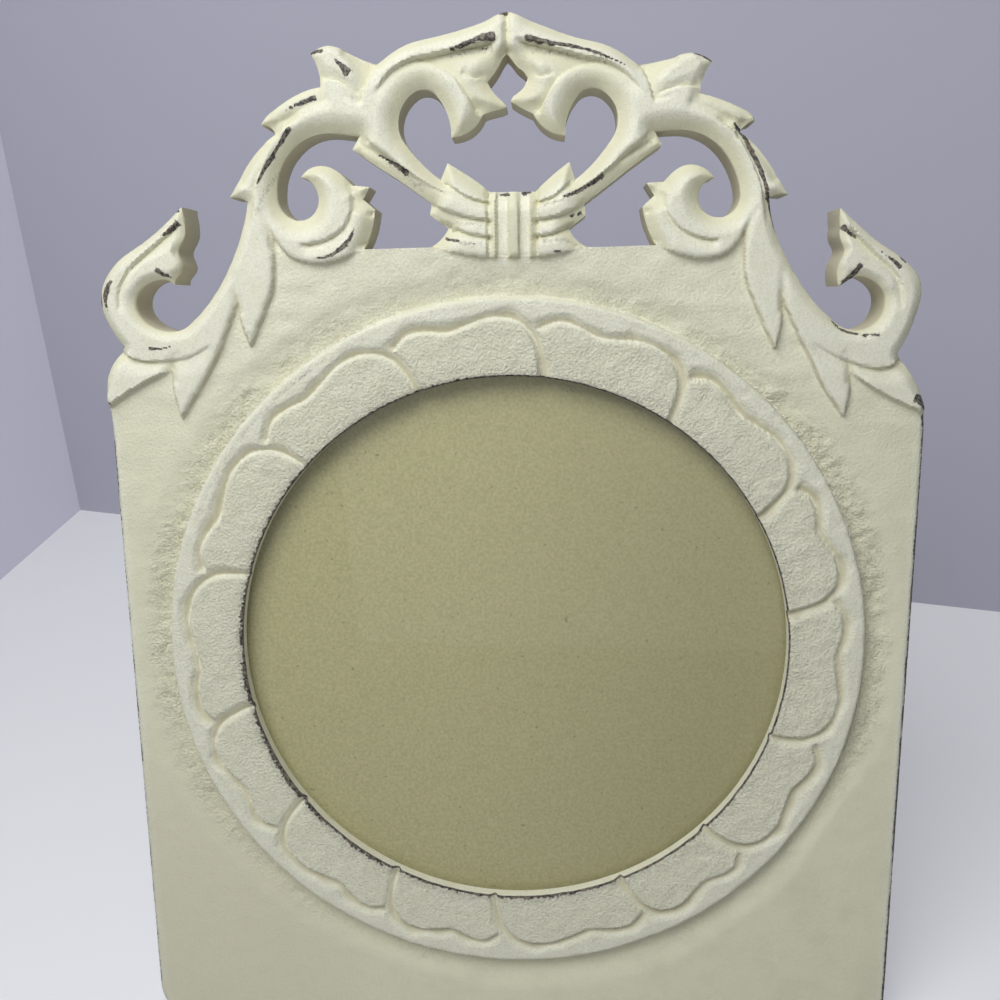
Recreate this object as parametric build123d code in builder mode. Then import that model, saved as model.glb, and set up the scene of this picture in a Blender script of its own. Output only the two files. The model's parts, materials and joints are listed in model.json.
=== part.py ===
"""Carved wooden photo frame: a round glazed window in a plank with a pierced crest, on an easel strut.

The plank leans back, so its pieces are drawn on a tilted plane whose origin is the window's centre on
the front face: x runs across, y up the plank and z out of the front. Everything is in millimetres.
"""
import os
from math import cos, radians, sin

from build123d import *

os.makedirs("parts", exist_ok=True)

# The plank: window, ring, margins and thickness
window_diameter = 127.0
ring_width = 17.0
side_margin = 10.5
head_margin = 10.7
foot_margin = 20.5
foot_corner = 10.0
plank_thickness = 12.0
lean = 13.0

# Front carving: the sunk ground, the moat round the ring and the petals on it
ground_depth = 1.2
moat_depth = 2.0
moat_slope = 0.9
moat_reach = 15.0
petal_count = 14
petal_turn = 5.0
petal_rim = 4.2
petal_wave = 1.1
groove_width = 1.2
groove_depth = 0.8

# The crest above the panel's top edge
crest_height = 47.5

# Rear rebate and what lies in it
lip_thickness = 3.6
lip_cover = 4.0
rebate_corner = 5.0
pane_clearance = 0.5
glass_thickness = 2.0
card_thickness = 0.8

# Turn buttons and their round-head screws
button_length = 18.0
button_width = 8.0
button_thickness = 1.2
button_inset = 6.5
button_rise = 42.0
button_lift = 0.15
button_screw_diameter = 3.0
button_screw_bite = 6.0
button_head_diameter = 6.0
button_head_height = 1.8

# Easel strut and its butt hinge
hinge_rise = 48.0
open_angle = 22.0
strut_thickness = 6.0
strut_head_width = 28.0
strut_foot_width = 44.0
strut_heel = 14.0
strut_corner = 4.0
stop_gap = 0.15
leaf_width = 24.0
leaf_length = 16.0
leaf_thickness = 0.8
knuckle_radius = 1.6
knuckle_gap = 0.15
knuckle_clearance = 0.3
pin_radius = 0.8
pin_overhang = 0.5
hinge_screw_spacing = 13.0
hinge_screw_drop = 10.0
hinge_screw_diameter = 2.0
hinge_screw_length = 4.5
hinge_head_diameter = 4.0

# Clearances of pins that turn and of screws in their holes
running_clearance = 0.08
pilot_clearance = 0.03

# Sizes that follow from the ones above
window_radius = window_diameter / 2
ring_radius = window_radius + ring_width
half_width = ring_radius + side_margin
head_line = ring_radius + head_margin
foot_line = -(ring_radius + foot_margin)
far_side = half_width + plank_thickness
far_radius = 2 * (half_width + head_line)
rebate_side = window_diameter + 2 * lip_cover
rebate_depth = plank_thickness - lip_thickness
pane_side = rebate_side - 2 * pane_clearance
pane_nip = 0.6 * rebate_corner
card_depth = lip_thickness + glass_thickness
backing_depth = card_depth + card_thickness
backing_thickness = plank_thickness - backing_depth
base_depth = plank_thickness / cos(radians(lean))
petal_pitch = 360 / petal_count
wave_line = ring_radius - petal_rim
button_out = rebate_side / 2 + button_inset
button_arm = button_length - button_width
knuckle_length = (leaf_width - 2 * knuckle_gap) / 3
hinge_offset = knuckle_radius + knuckle_clearance
strut_lean = open_angle - lean

# The plank's front plane, its rear plane and the plane through the window's axis
up_plank = Vector(0, sin(radians(lean)), cos(radians(lean)))
plate = Plane(
    origin=Vector(0, -base_depth / 2, 0) - up_plank * foot_line,
    x_dir=(1, 0, 0),
    z_dir=(0, -cos(radians(lean)), sin(radians(lean))),
)
rear = Plane(plate.origin - plate.z_dir * plank_thickness, x_dir=-plate.x_dir, z_dir=-plate.z_dir)
window_axis = Axis(plate.origin, plate.z_dir)
radial = Plane(plate.origin, x_dir=plate.x_dir, z_dir=-plate.y_dir)

# The hinge's axis, and the plane of the open strut: y runs up the strut and z away from the plank
hinge_point = rear.origin + rear.y_dir * hinge_rise + rear.z_dir * hinge_offset
barrel = Plane(hinge_point, x_dir=rear.y_dir, z_dir=plate.x_dir)
strut_plane = Plane(
    hinge_point,
    x_dir=-plate.x_dir,
    z_dir=(0, cos(radians(strut_lean)), sin(radians(strut_lean))),
)
strut_face = strut_plane.offset(hinge_offset)
moving_leaf_face = Plane(
    strut_plane.origin + strut_plane.z_dir * (hinge_offset - leaf_thickness),
    x_dir=plate.x_dir,
    z_dir=-strut_plane.z_dir,
)
strut_reach = hinge_point.Z / cos(radians(strut_lean)) + strut_thickness

# Where the screws and the buttons stand, from the side and the height of each
button_places = {
    "upper_left": (-button_out, button_rise),
    "upper_right": (button_out, button_rise),
    "lower_left": (-button_out, -button_rise),
    "lower_right": (button_out, -button_rise),
}
hinge_screw_places = [(side * hinge_screw_spacing / 2, -hinge_screw_drop) for side in (-1, 1)]
fixed_leaf_screws = [(x, hinge_rise + y, leaf_thickness) for x, y in hinge_screw_places]


def crest(x, y):
    """Place a template point, drawn in percent of the panel's half width and of the crest's height."""
    return (half_width * x / 100, head_line + crest_height * y / 100)


def run_of_arcs(points):
    """A smooth run of arcs: the first through three points, then one on to each point after them."""
    arc = ThreePointArc(*points[:3])
    for point in points[3:]:
        arc = TangentArc(arc @ 1, point, tangent=arc % 1)


def carved_edge(*points):
    """One smooth edge of the carving through template points."""
    run_of_arcs([crest(x, y) for x, y in points])


def cut_edge(*points):
    """Straight knife cuts from point to point of the template."""
    Polyline(*[crest(x, y) for x, y in points])


def ring_point(reach, turn):
    """A point of the ring, by its distance from the window's centre and its turn from the top."""
    return (reach * sin(radians(turn)), reach * cos(radians(turn)))


def countersunk_screw(spare=0.0):
    """A countersunk wood screw down from the origin; spare widens it into the hole that takes it."""
    head = hinge_head_diameter / 2 + spare
    shank = hinge_screw_diameter / 2 + spare
    end = -hinge_screw_length - spare
    with BuildPart() as screw:
        with BuildSketch(Plane.XZ):
            with BuildLine():
                Polyline((0, 0), (head, 0), (shank, shank - head), (shank, end), (0, end), (0, 0))
            make_face()
        revolve(axis=Axis.Z)
    return screw.part


def round_head_screw():
    """A round-head wood screw with the underside of its head at the origin."""
    head = button_head_diameter / 2
    shank = button_screw_diameter / 2
    end = -(button_screw_bite + button_thickness + 2 * button_lift)
    with BuildPart() as screw:
        with BuildSketch(Plane.XZ):
            with BuildLine():
                Polyline((0, button_head_height), (0, end), (shank, end), (shank, 0), (head, 0))
                TangentArc((0, button_head_height), (head, 0), tangent=(1, 0))
            make_face()
        revolve(axis=Axis.Z)
    return screw.part


def pane(depth, thickness):
    """A square sheet with nipped corners that lies in the rebate at a depth behind the front face."""
    with BuildPart() as sheet:
        with BuildSketch(plate.offset(-depth)) as outline:
            Rectangle(pane_side, pane_side)
            chamfer(outline.vertices(), length=pane_nip)
        extrude(amount=-thickness)
    return sheet.part


hinge_screw = countersunk_screw()
hinge_screw_hole = countersunk_screw(pilot_clearance)
button_screw = round_head_screw()

# Cutter for the sunk ground: what of the front face is neither ring nor crest, deepest beside the ring
with BuildPart() as ground_cut:
    with BuildSketch(radial):
        with BuildLine():
            Polyline(
                (ring_radius, ground_depth),
                (ring_radius, 0),
                (ring_radius + moat_slope, -moat_depth),
                (ring_radius + moat_reach, -ground_depth),
                (far_radius, -ground_depth),
                (far_radius, ground_depth),
                close=True,
            )
        make_face()
    revolve(axis=window_axis)
    with BuildSketch(plate.offset(ground_depth)):
        with BuildLine():
            cut_edge((0, -4), (8.8, -3.6), (18.7, -0.8), (18.7, 4.2), (34.7, 4.2), (34.7, 0.8))
            carved_edge((34.7, 0.8), (40, -3.8), (46.2, -5.7), (51.9, -2.9), (56.6, 6.9))
            carved_edge((56.6, 6.9), (57.1, -14.7), (59.6, -27.4), (63.3, -42.5))
            carved_edge((63.3, -42.5), (64.9, -32.6), (65.7, -21.1))
            carved_edge((65.7, -21.1), (70.1, -40.4), (75.2, -58.1), (81.5, -76.2))
            carved_edge((81.5, -76.2), (82.4, -65.3), (82.4, -54.7))
            carved_edge((82.4, -54.7), (88.6, -61.9), (100, -73.1))
            shoulder = crest(100, -73.1)
            Polyline(
                shoulder,
                (far_side, shoulder[1]),
                (far_side, foot_line - plank_thickness),
                (0, foot_line - plank_thickness),
            )
            mirror(about=Plane.YZ)
        make_face()
    extrude(amount=-(2 * ground_depth + moat_depth), mode=Mode.INTERSECT)

# One petal's groove, clockwise from the foot of the groove before it: two waves, then down to the window
with BuildSketch() as petal_groove:
    groove_line = [
        (wave_line - 0.8 * petal_wave, -0.06),
        (wave_line + 0.2 * petal_wave, 0.1),
        (wave_line - 1.1 * petal_wave, 0.24),
        (wave_line - 1.2 * petal_wave, 0.45),
        (wave_line - 0.6 * petal_wave, 0.83),
        (window_radius + 0.35 * ring_width, 0.98),
        (window_radius - groove_width, 1.0),
    ]
    with BuildLine():
        run_of_arcs([ring_point(reach, petal_turn + share * petal_pitch) for reach, share in groove_line])
        offset(amount=groove_width, side=Side.LEFT)
    make_face()

# The carved plank
with BuildPart() as carved_frame:
    with BuildSketch(plate):
        with BuildLine():
            carved_edge((0, 100), (8.8, 94.1), (19.8, 89.3), (26.9, 83.8), (30.1, 79.4))
            carved_edge((30.1, 79.4), (34.9, 81.1), (39.5, 83.2), (46.3, 80.4))
            carved_edge((46.3, 80.4), (44.7, 74.5), (44, 67.4))
            carved_edge((44, 67.4), (51.4, 63.4), (55.8, 58.9), (57.8, 54.3))
            carved_edge((57.8, 54.3), (56, 53.5), (54.5, 50.1))
            carved_edge((54.5, 50.1), (60.2, 40), (63.7, 29.9), (66.4, 21.5))
            carved_edge((66.4, 21.5), (64.2, 21.5), (62.2, 19.8))
            carved_edge(
                (62.2, 19.8),
                (63.4, 9.9),
                (65.2, 0.8),
                (77.7, -34.1),
                (88.8, -31.8),
                (89, -20.6),
                (79.3, -16),
            )
            carved_edge((79.3, -16), (77.5, 0), (77.8, 17.3))
            carved_edge(
                (77.8, 17.3),
                (84, 7.2),
                (91.1, -1.9),
                (97.1, -13.9),
                (98, -28.2),
                (93.2, -46.7),
            )
            carved_edge((93.2, -46.7), (97.4, -57.7), (100, -72))
            Line(crest(100, -72), (half_width, foot_line + foot_corner))
            RadiusArc((half_width, foot_line + foot_corner), (half_width - foot_corner, foot_line), foot_corner)
            Line((half_width - foot_corner, foot_line), (0, foot_line))
            mirror(about=Plane.YZ)
        make_face()
        with BuildLine():
            carved_edge((0, 78.9), (2.9, 74.9), (4.7, 71.2))
            carved_edge((4.7, 71.2), (3.3, 66.3), (1.8, 62.1))
            carved_edge((1.8, 62.1), (3.7, 59.6), (5.8, 57.7))
            carved_edge((5.8, 57.7), (8.4, 51.4), (13.3, 48.2))
            carved_edge(
                (13.3, 48.2),
                (14.1, 58.1),
                (16.6, 66.1),
                (22.1, 67.4),
                (24.2, 46.5),
                (15.6, 29.5),
            )
            cut_edge((15.6, 29.5), (14.2, 37.1))
            carved_edge((14.2, 37.1), (10.1, 31.8), (5.3, 24.4))
            cut_edge((5.3, 24.4), (0, 24.4))
            mirror(about=Plane.YZ)
        make_face(mode=Mode.SUBTRACT)
        with BuildLine():
            carved_edge(
                (34.1, 49.3),
                (37.1, 50.1),
                (40.1, 50.7),
                (49, 45.5),
                (54.8, 21.9),
                (46.6, 14.3),
                (48.6, 30.7),
            )
            carved_edge((48.6, 30.7), (44.1, 36), (39.3, 33.5), (36.5, 28.2))
            cut_edge((36.5, 28.2), (32.4, 27.4), (34.3, 22.1), (31.5, 17.3))
            carved_edge((31.5, 17.3), (32.4, 9.7), (34.7, 0))
            cut_edge((34.7, 0), (18.7, 0))
            carved_edge((18.7, 0), (15.6, 4), (14.1, 8.4))
            cut_edge((14.1, 8.4), (18.2, 14.3), (17.8, 19.4))
            carved_edge((17.8, 19.4), (27, 32), (35.8, 43.8))
            cut_edge((35.8, 43.8), (34.1, 49.3))
        side_gap = make_face(mode=Mode.SUBTRACT)
        mirror(side_gap, about=Plane.YZ, mode=Mode.SUBTRACT)
        Circle(window_radius, mode=Mode.SUBTRACT)
    extrude(amount=-plank_thickness)
    add(ground_cut.part, mode=Mode.SUBTRACT)
    with BuildSketch(plate):
        with PolarLocations(0, petal_count):
            add(petal_groove.sketch)
    extrude(amount=-groove_depth, mode=Mode.SUBTRACT)
    with BuildSketch(rear):
        RectangleRounded(rebate_side, rebate_side, rebate_corner)
    extrude(amount=-rebate_depth, mode=Mode.SUBTRACT)
    with BuildSketch(rear):
        with Locations(*button_places.values()):
            Circle(button_screw_diameter / 2 + pilot_clearance)
    extrude(amount=-(button_screw_bite + pilot_clearance), mode=Mode.SUBTRACT)
    split(bisect_by=Plane.XY, keep=Keep.TOP)
carved_frame.part.label = "carved_frame"
export_step(carved_frame.part, "parts/carved_frame.step")

# Glass and kraft card, from the lip backwards
glass_pane = pane(lip_thickness, glass_thickness)
glass_pane.label = "glass_pane"
export_step(glass_pane, "parts/glass_pane.step")

photo_card = pane(card_depth, card_thickness)
photo_card.label = "photo_card"
export_step(photo_card, "parts/photo_card.step")

# Backing board, flush with the plank's back, with the holes of the fixed leaf's screws
backing_sheet = pane(backing_depth, backing_thickness)
with BuildPart() as backing_board:
    add(backing_sheet)
    with Locations(rear):
        with Locations(*fixed_leaf_screws):
            add(hinge_screw_hole, mode=Mode.SUBTRACT)
backing_board.part.label = "backing_board"
export_step(backing_board.part, "parts/backing_board.step")

# Turn buttons: each lies across the rebate's edge and turns on its screw
for place, (x, y) in button_places.items():
    inward = -1 if x > 0 else 1
    with BuildPart() as turn_button:
        with BuildSketch(rear.offset(button_lift)):
            with Locations((x + inward * button_arm / 2, y)):
                SlotCenterToCenter(button_arm, button_width)
            with Locations((x, y)):
                Circle(button_screw_diameter / 2 + running_clearance, mode=Mode.SUBTRACT)
        extrude(amount=button_thickness)
    turn_button.part.label = "turn_button_" + place
    export_step(turn_button.part, "parts/turn_button_" + place + ".step")

with BuildPart(rear.offset(button_thickness + 2 * button_lift)) as turn_button_screws:
    with Locations(*button_places.values()):
        add(button_screw)
turn_button_screws.part.label = "turn_button_screws"
export_step(turn_button_screws.part, "parts/turn_button_screws.step")

# Easel strut: foot cut level with the table, heel bevelled to stop against the backing board
with BuildPart() as easel_strut:
    with BuildSketch(strut_face) as strut_outline:
        with BuildLine():
            Polyline(
                (-strut_head_width / 2, strut_heel),
                (strut_head_width / 2, strut_heel),
                (strut_foot_width / 2, -strut_reach),
                (-strut_foot_width / 2, -strut_reach),
                close=True,
            )
        make_face()
        fillet(strut_outline.vertices().group_by(Axis.Y)[-1], strut_corner)
    extrude(amount=strut_thickness)
    split(bisect_by=Plane.XY, keep=Keep.TOP)
    split(bisect_by=rear.offset(stop_gap), keep=Keep.TOP)
    with Locations(moving_leaf_face):
        with Locations(*hinge_screw_places):
            add(hinge_screw_hole, mode=Mode.SUBTRACT)
easel_strut.part.label = "easel_strut"
export_step(easel_strut.part, "parts/easel_strut.step")

# Hinge: the fixed leaf carries the two outer knuckles, the moving leaf the middle one
outer_starts = [-leaf_width / 2, leaf_width / 2 - knuckle_length]
middle_start = -knuckle_length / 2

with BuildPart(rear) as hinge_leaf_fixed:
    with BuildSketch(rear):
        with Locations((0, hinge_rise - leaf_length / 2)):
            Rectangle(leaf_width, leaf_length)
    extrude(amount=leaf_thickness)
    with BuildSketch(barrel.offset(middle_start - knuckle_gap)):
        Circle(knuckle_radius + knuckle_clearance)
    extrude(amount=knuckle_length + 2 * knuckle_gap, mode=Mode.SUBTRACT)
    for start in outer_starts:
        with BuildSketch(barrel.offset(start)):
            Circle(knuckle_radius)
        extrude(amount=knuckle_length)
    with BuildSketch(barrel.offset(-leaf_width / 2)):
        Circle(pin_radius + running_clearance)
    extrude(amount=leaf_width, mode=Mode.SUBTRACT)
    with Locations(*fixed_leaf_screws):
        add(hinge_screw_hole, mode=Mode.SUBTRACT)
hinge_leaf_fixed.part.label = "hinge_leaf_fixed"
export_step(hinge_leaf_fixed.part, "parts/hinge_leaf_fixed.step")

with BuildPart() as hinge_leaf_moving:
    with BuildSketch(strut_plane.offset(hinge_offset - leaf_thickness)):
        with Locations((0, -leaf_length / 2)):
            Rectangle(leaf_width, leaf_length)
    extrude(amount=leaf_thickness)
    for start in outer_starts:
        with BuildSketch(barrel.offset(start - knuckle_gap)):
            Circle(knuckle_radius + knuckle_clearance)
        extrude(amount=knuckle_length + 2 * knuckle_gap, mode=Mode.SUBTRACT)
    with BuildSketch(barrel.offset(middle_start)):
        Circle(knuckle_radius)
    extrude(amount=knuckle_length)
    with BuildSketch(barrel.offset(-leaf_width / 2)):
        Circle(pin_radius + running_clearance)
    extrude(amount=leaf_width, mode=Mode.SUBTRACT)
    with Locations(moving_leaf_face):
        with Locations(*hinge_screw_places):
            add(hinge_screw_hole, mode=Mode.SUBTRACT)
hinge_leaf_moving.part.label = "hinge_leaf_moving"
export_step(hinge_leaf_moving.part, "parts/hinge_leaf_moving.step")

with BuildPart() as hinge_pin:
    with BuildSketch(barrel.offset(-leaf_width / 2 - pin_overhang)):
        Circle(pin_radius)
    extrude(amount=leaf_width + 2 * pin_overhang)
    chamfer(hinge_pin.edges().filter_by(GeomType.CIRCLE), length=pin_overhang / 2)
hinge_pin.part.label = "hinge_pin"
export_step(hinge_pin.part, "parts/hinge_pin.step")

with BuildPart(rear) as hinge_screws_fixed:
    with Locations(*fixed_leaf_screws):
        add(hinge_screw)
hinge_screws_fixed.part.label = "hinge_screws_fixed"
export_step(hinge_screws_fixed.part, "parts/hinge_screws_fixed.step")

with BuildPart(moving_leaf_face) as hinge_screws_moving:
    with Locations(*hinge_screw_places):
        add(hinge_screw)
hinge_screws_moving.part.label = "hinge_screws_moving"
export_step(hinge_screws_moving.part, "parts/hinge_screws_moving.step")
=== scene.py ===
"""Looks of a carved photo frame: paint, carving, glass, kraft card and rear hardware round the CAD frame.

The carving is worked out on the leaning plank's front plane in millimetres: across to the right, up the
plank and out of the front, from the window's centre. to_world turns that into the frame's metres.
"""
import json
from math import cos, pi, radians, sin
from typing import NamedTuple

import bmesh
import bpy
import numpy as np
from bpy.props import FloatProperty, FloatVectorProperty, PointerProperty
from mathutils import Euler, Matrix, Vector
from mathutils.geometry import delaunay_2d_cdt
from mathutils.kdtree import KDTree

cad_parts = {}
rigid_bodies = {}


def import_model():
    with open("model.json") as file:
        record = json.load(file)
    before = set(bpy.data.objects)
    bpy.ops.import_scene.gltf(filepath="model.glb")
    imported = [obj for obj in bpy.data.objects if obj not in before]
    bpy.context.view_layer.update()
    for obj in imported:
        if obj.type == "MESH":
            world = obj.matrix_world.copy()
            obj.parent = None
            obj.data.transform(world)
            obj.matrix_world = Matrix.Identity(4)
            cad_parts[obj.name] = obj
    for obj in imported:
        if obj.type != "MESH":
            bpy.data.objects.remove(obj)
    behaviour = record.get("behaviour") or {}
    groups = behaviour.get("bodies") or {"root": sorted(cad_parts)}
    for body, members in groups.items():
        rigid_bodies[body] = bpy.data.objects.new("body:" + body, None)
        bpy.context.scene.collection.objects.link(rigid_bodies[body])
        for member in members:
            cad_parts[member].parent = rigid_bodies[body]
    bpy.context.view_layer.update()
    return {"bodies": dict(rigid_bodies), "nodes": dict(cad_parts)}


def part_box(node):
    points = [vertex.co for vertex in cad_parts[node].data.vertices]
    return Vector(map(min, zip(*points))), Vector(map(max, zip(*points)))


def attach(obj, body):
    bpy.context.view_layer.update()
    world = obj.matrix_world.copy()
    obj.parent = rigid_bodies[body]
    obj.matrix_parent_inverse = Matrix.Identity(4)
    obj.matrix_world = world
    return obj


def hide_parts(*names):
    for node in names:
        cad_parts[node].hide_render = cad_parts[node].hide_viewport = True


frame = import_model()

bl_info = {
    "name": "Carved photo frame",
    "version": (1, 0, 0),
    "blender": (4, 5, 0),
    "location": "3D View > Sidebar > Photo frame",
    "description": "Dresses the CAD frame of a carved photo frame with carving, paint and hardware",
    "category": "Object",
}

MM = 0.001

# The plank's lean and the sizes that it shares with the CAD frame, in millimetres
LEAN = radians(13.0)
PLANK_THICKNESS = 12.0
LIP_THICKNESS = 3.6
GLASS_THICKNESS = 2.0
WINDOW_RADIUS = 63.5
RING_WIDTH = 17.0
RING_RADIUS = WINDOW_RADIUS + RING_WIDTH
HALF_WIDTH = 91.0
REBATE_HALF = 67.5
REBATE_CORNER = 5.0

# Where the ring's mesh meets the panel's, and how far a sheet's faces stay inside its CAD node
SEAM_RADIUS = 81.4
SHEET_GAP = 0.04

# Rear hardware: how far the open strut leans, the bevels on its edges, and the seed of the slots' turns
STRUT_LEAN = radians(9.0)
SHEET_BEVEL = 0.12
STRUT_BEVEL = 0.5
SLOT_SEED = 7

# Bevels of the sheets in the rebate, and the grain of the bare wood: bumps to the metre and their stretch
GLASS_BEVEL = 0.3
CARD_BEVEL = 0.05
BOARD_BEVEL = 0.25
WOOD_GRAIN = {"scale": 70.0, "stretch": (7, 1, 0.5)}

# Screws of the turn buttons and of the hinge, in millimetres
BUTTON_SCREW = {
    "Head Radius": 3.0, "Head Height": 1.8, "Shank Radius": 1.5, "Shank Length": 7.5,
    "Slot Width": 0.7, "Slot Depth": 0.9,
}
HINGE_SCREW = {
    "Head Radius": 2.0, "Head Height": 1.0, "Shank Radius": 1.0, "Shank Length": 4.0,
    "Slot Width": 0.5, "Slot Depth": 0.45,
}

# The ground round the crest, sunk below the ring and the crest, and the moat that is gouged beside the ring
GROUND_DEPTH = 1.7
MOAT_DEPTH = 3.3
MOAT_REACH = 9.0
CREST_FOOT = 48.0

# Limits of the carving: gap to the front plane, the crest's lowest place, wood left, and the panel's top
FRONT_SKIN = 0.02
CREST_LOWEST = 3.2
LEAST_WOOD = 0.15
PANEL_TOP = 56.0

# Petals: the groove's depth, the width of its slope and wall, the fall to the window and the level rim
PETAL_GROOVE = 1.35
PETAL_SLOPE = 2.4
PETAL_WALL = 0.8
PETAL_DISH = 0.7
PETAL_RIM = 4.5

# Edges that are pared away: over what width, and how far they fall
SIDE_PARED = (2.4, 1.6)
GAP_PARED = (4.2, 2.6)
LEAF_PARED = (1.0, 0.4)
GROUND_PARED = (1.0, 0.8)
WINDOW_PARED = (0.6, 0.35)
RIM_PARED = (0.7, 0.45)

# The bow's bars: half width, height of their middle, half height, and where the grooves between them are
BOW_HALF = 4.6
BOW_MIDDLE = 95.5
BOW_REACH = 8.0
BOW_GROOVE = 2.35

# The eased edge of the plank's back: how far in and how deep it goes
BACK_EASE_IN = 0.35
BACK_EASE_DEEP = 0.6

# Spacing of the carved meshes' points, and of the samples that distances are measured to
EDGE_SPACING = 0.55
SEAM_SPACING = 0.7
CREST_SPACING = 0.46
PANEL_SPACING = 1.2
BANK_SPACING = 0.6
BACK_SPACING = 0.7
SAMPLE_SPACING = 0.2
HONEYCOMB_RISE = 0.866
CREST_GAP = 0.4
EDGE_ROWS = (0.22, 0.6, 1.1)

# Points round the ring, its rows from the window's edge to the rim, and rows down the window's wall
RING_POINTS = 1300
RING_ROWS = np.concatenate((
    (0, 0.12, 0.28, 0.5), np.arange(0.85, 16.2, 0.4), (16.5, 16.75, 16.95, 17.1, 17.25, 17.45, 17.9),
))
WALL_ROWS = (0.15, 0.6)

# The table of random values for the carving's roughness, and where on it the window's centre lies
NOISE_SEED = 11
NOISE_CELLS = 256
NOISE_OFFSET = 500.0

# How near points count as one place, and the angles in degrees above which an edge stays sharp
FLAT_TOLERANCE = 0.01
MERGE_DISTANCE = 0.002
OUTLINE_TOLERANCE = 1e-5
CARVED_SHARP = 50
HARDWARE_SHARP = 40
SCREW_SHARP = 35

# Bevels of the hardware: angles in degrees that count as flat and as an edge, and steps
EASED_FLAT = 1
EASED_EDGE = 30
EASED_STEPS = 3

# Facets round a screw, and rings of its dome
SCREW_FACETS = 40
DOME_RINGS = 24

# Sockets of nodes whose socket names occur more than once, and the triangulation that fills an outline
MIX_FACTOR, MIX_FIRST, MIX_SECOND, MIX_RESULT = 0, 6, 7, 2
RANDOM_MAX, RANDOM_VALUE = 3, 1
FILL_OUTLINE = 1

# The photograph's camera on the plank's axes: place in millimetres, turns in degrees, lens and sensor
CAMERA_PLACE = (8.3, 79.6, 220.7)
CAMERA_TURN = (11.21, 2.75, -0.13)
CAMERA_LENS = 36.0
CAMERA_SENSOR = 36.0

# The corner of the room behind the frame, how far its two walls are turned, and sizes, in metres
ROOM_CORNER = (-0.249, 0.309)
BACK_WALL_TURN = radians(-13.3)
SIDE_WALL_TURN = radians(266.8)
BACK_WALL_LENGTH = 1.5
SIDE_WALL_LENGTH = 0.15
WALL_HEIGHT = 1.2
TABLE_HALF = 3.0

# How far each sheet of the stage is lightened for the camera, and the light from all round
TABLE_GLOW = 0.36
BACK_WALL_GLOW = 0.24
SIDE_WALL_GLOW = 0.53
SKY_COLOUR = (0.9, 0.92, 1.0, 1)
SKY_STRENGTH = 0.13
SKY_IN_GLOSS = 0.2

# Lamps: size and place, in metres
LAMPS = {
    "key": (0.3, (-0.13, -0.18, 0.49)),
    "fill": (0.6, (0.1, -0.6, 0.3)),
    "rear": (0.4, (0.1, 0.5, 0.7)),
}


class Stroke(NamedTuple):
    """One cut of the gouge on the right half; a ledge or a bevel drops on the right hand of its path."""

    kind: str
    start_depth: float
    end_depth: float
    reach: float
    path: tuple


# Edge between the crest's leaves and the sunk ground, from the centre line to the shoulder
GROUND_EDGE = (
    ((0, 89.3), (8, 89.5), (17.4, 91.7)),
    ((17.4, 91.7), (24, 92.4), (31, 92.2)),
    ((31, 92.2), (36.4, 89.4), (42, 88.5), (47.2, 89.8), (51.5, 94.5)),
    ((51.5, 94.5), (52, 84.2), (54.2, 78.2), (57.6, 71)),
    ((57.6, 71), (59.1, 75.7), (59.8, 81.2)),
    ((59.8, 81.2), (63.8, 72), (68.4, 63.6), (74.2, 55)),
    ((74.2, 55), (75, 60.2), (75, 65.2)),
    ((75, 65.2), (80.6, 61.8), (91.5, 56.3)),
)

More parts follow.
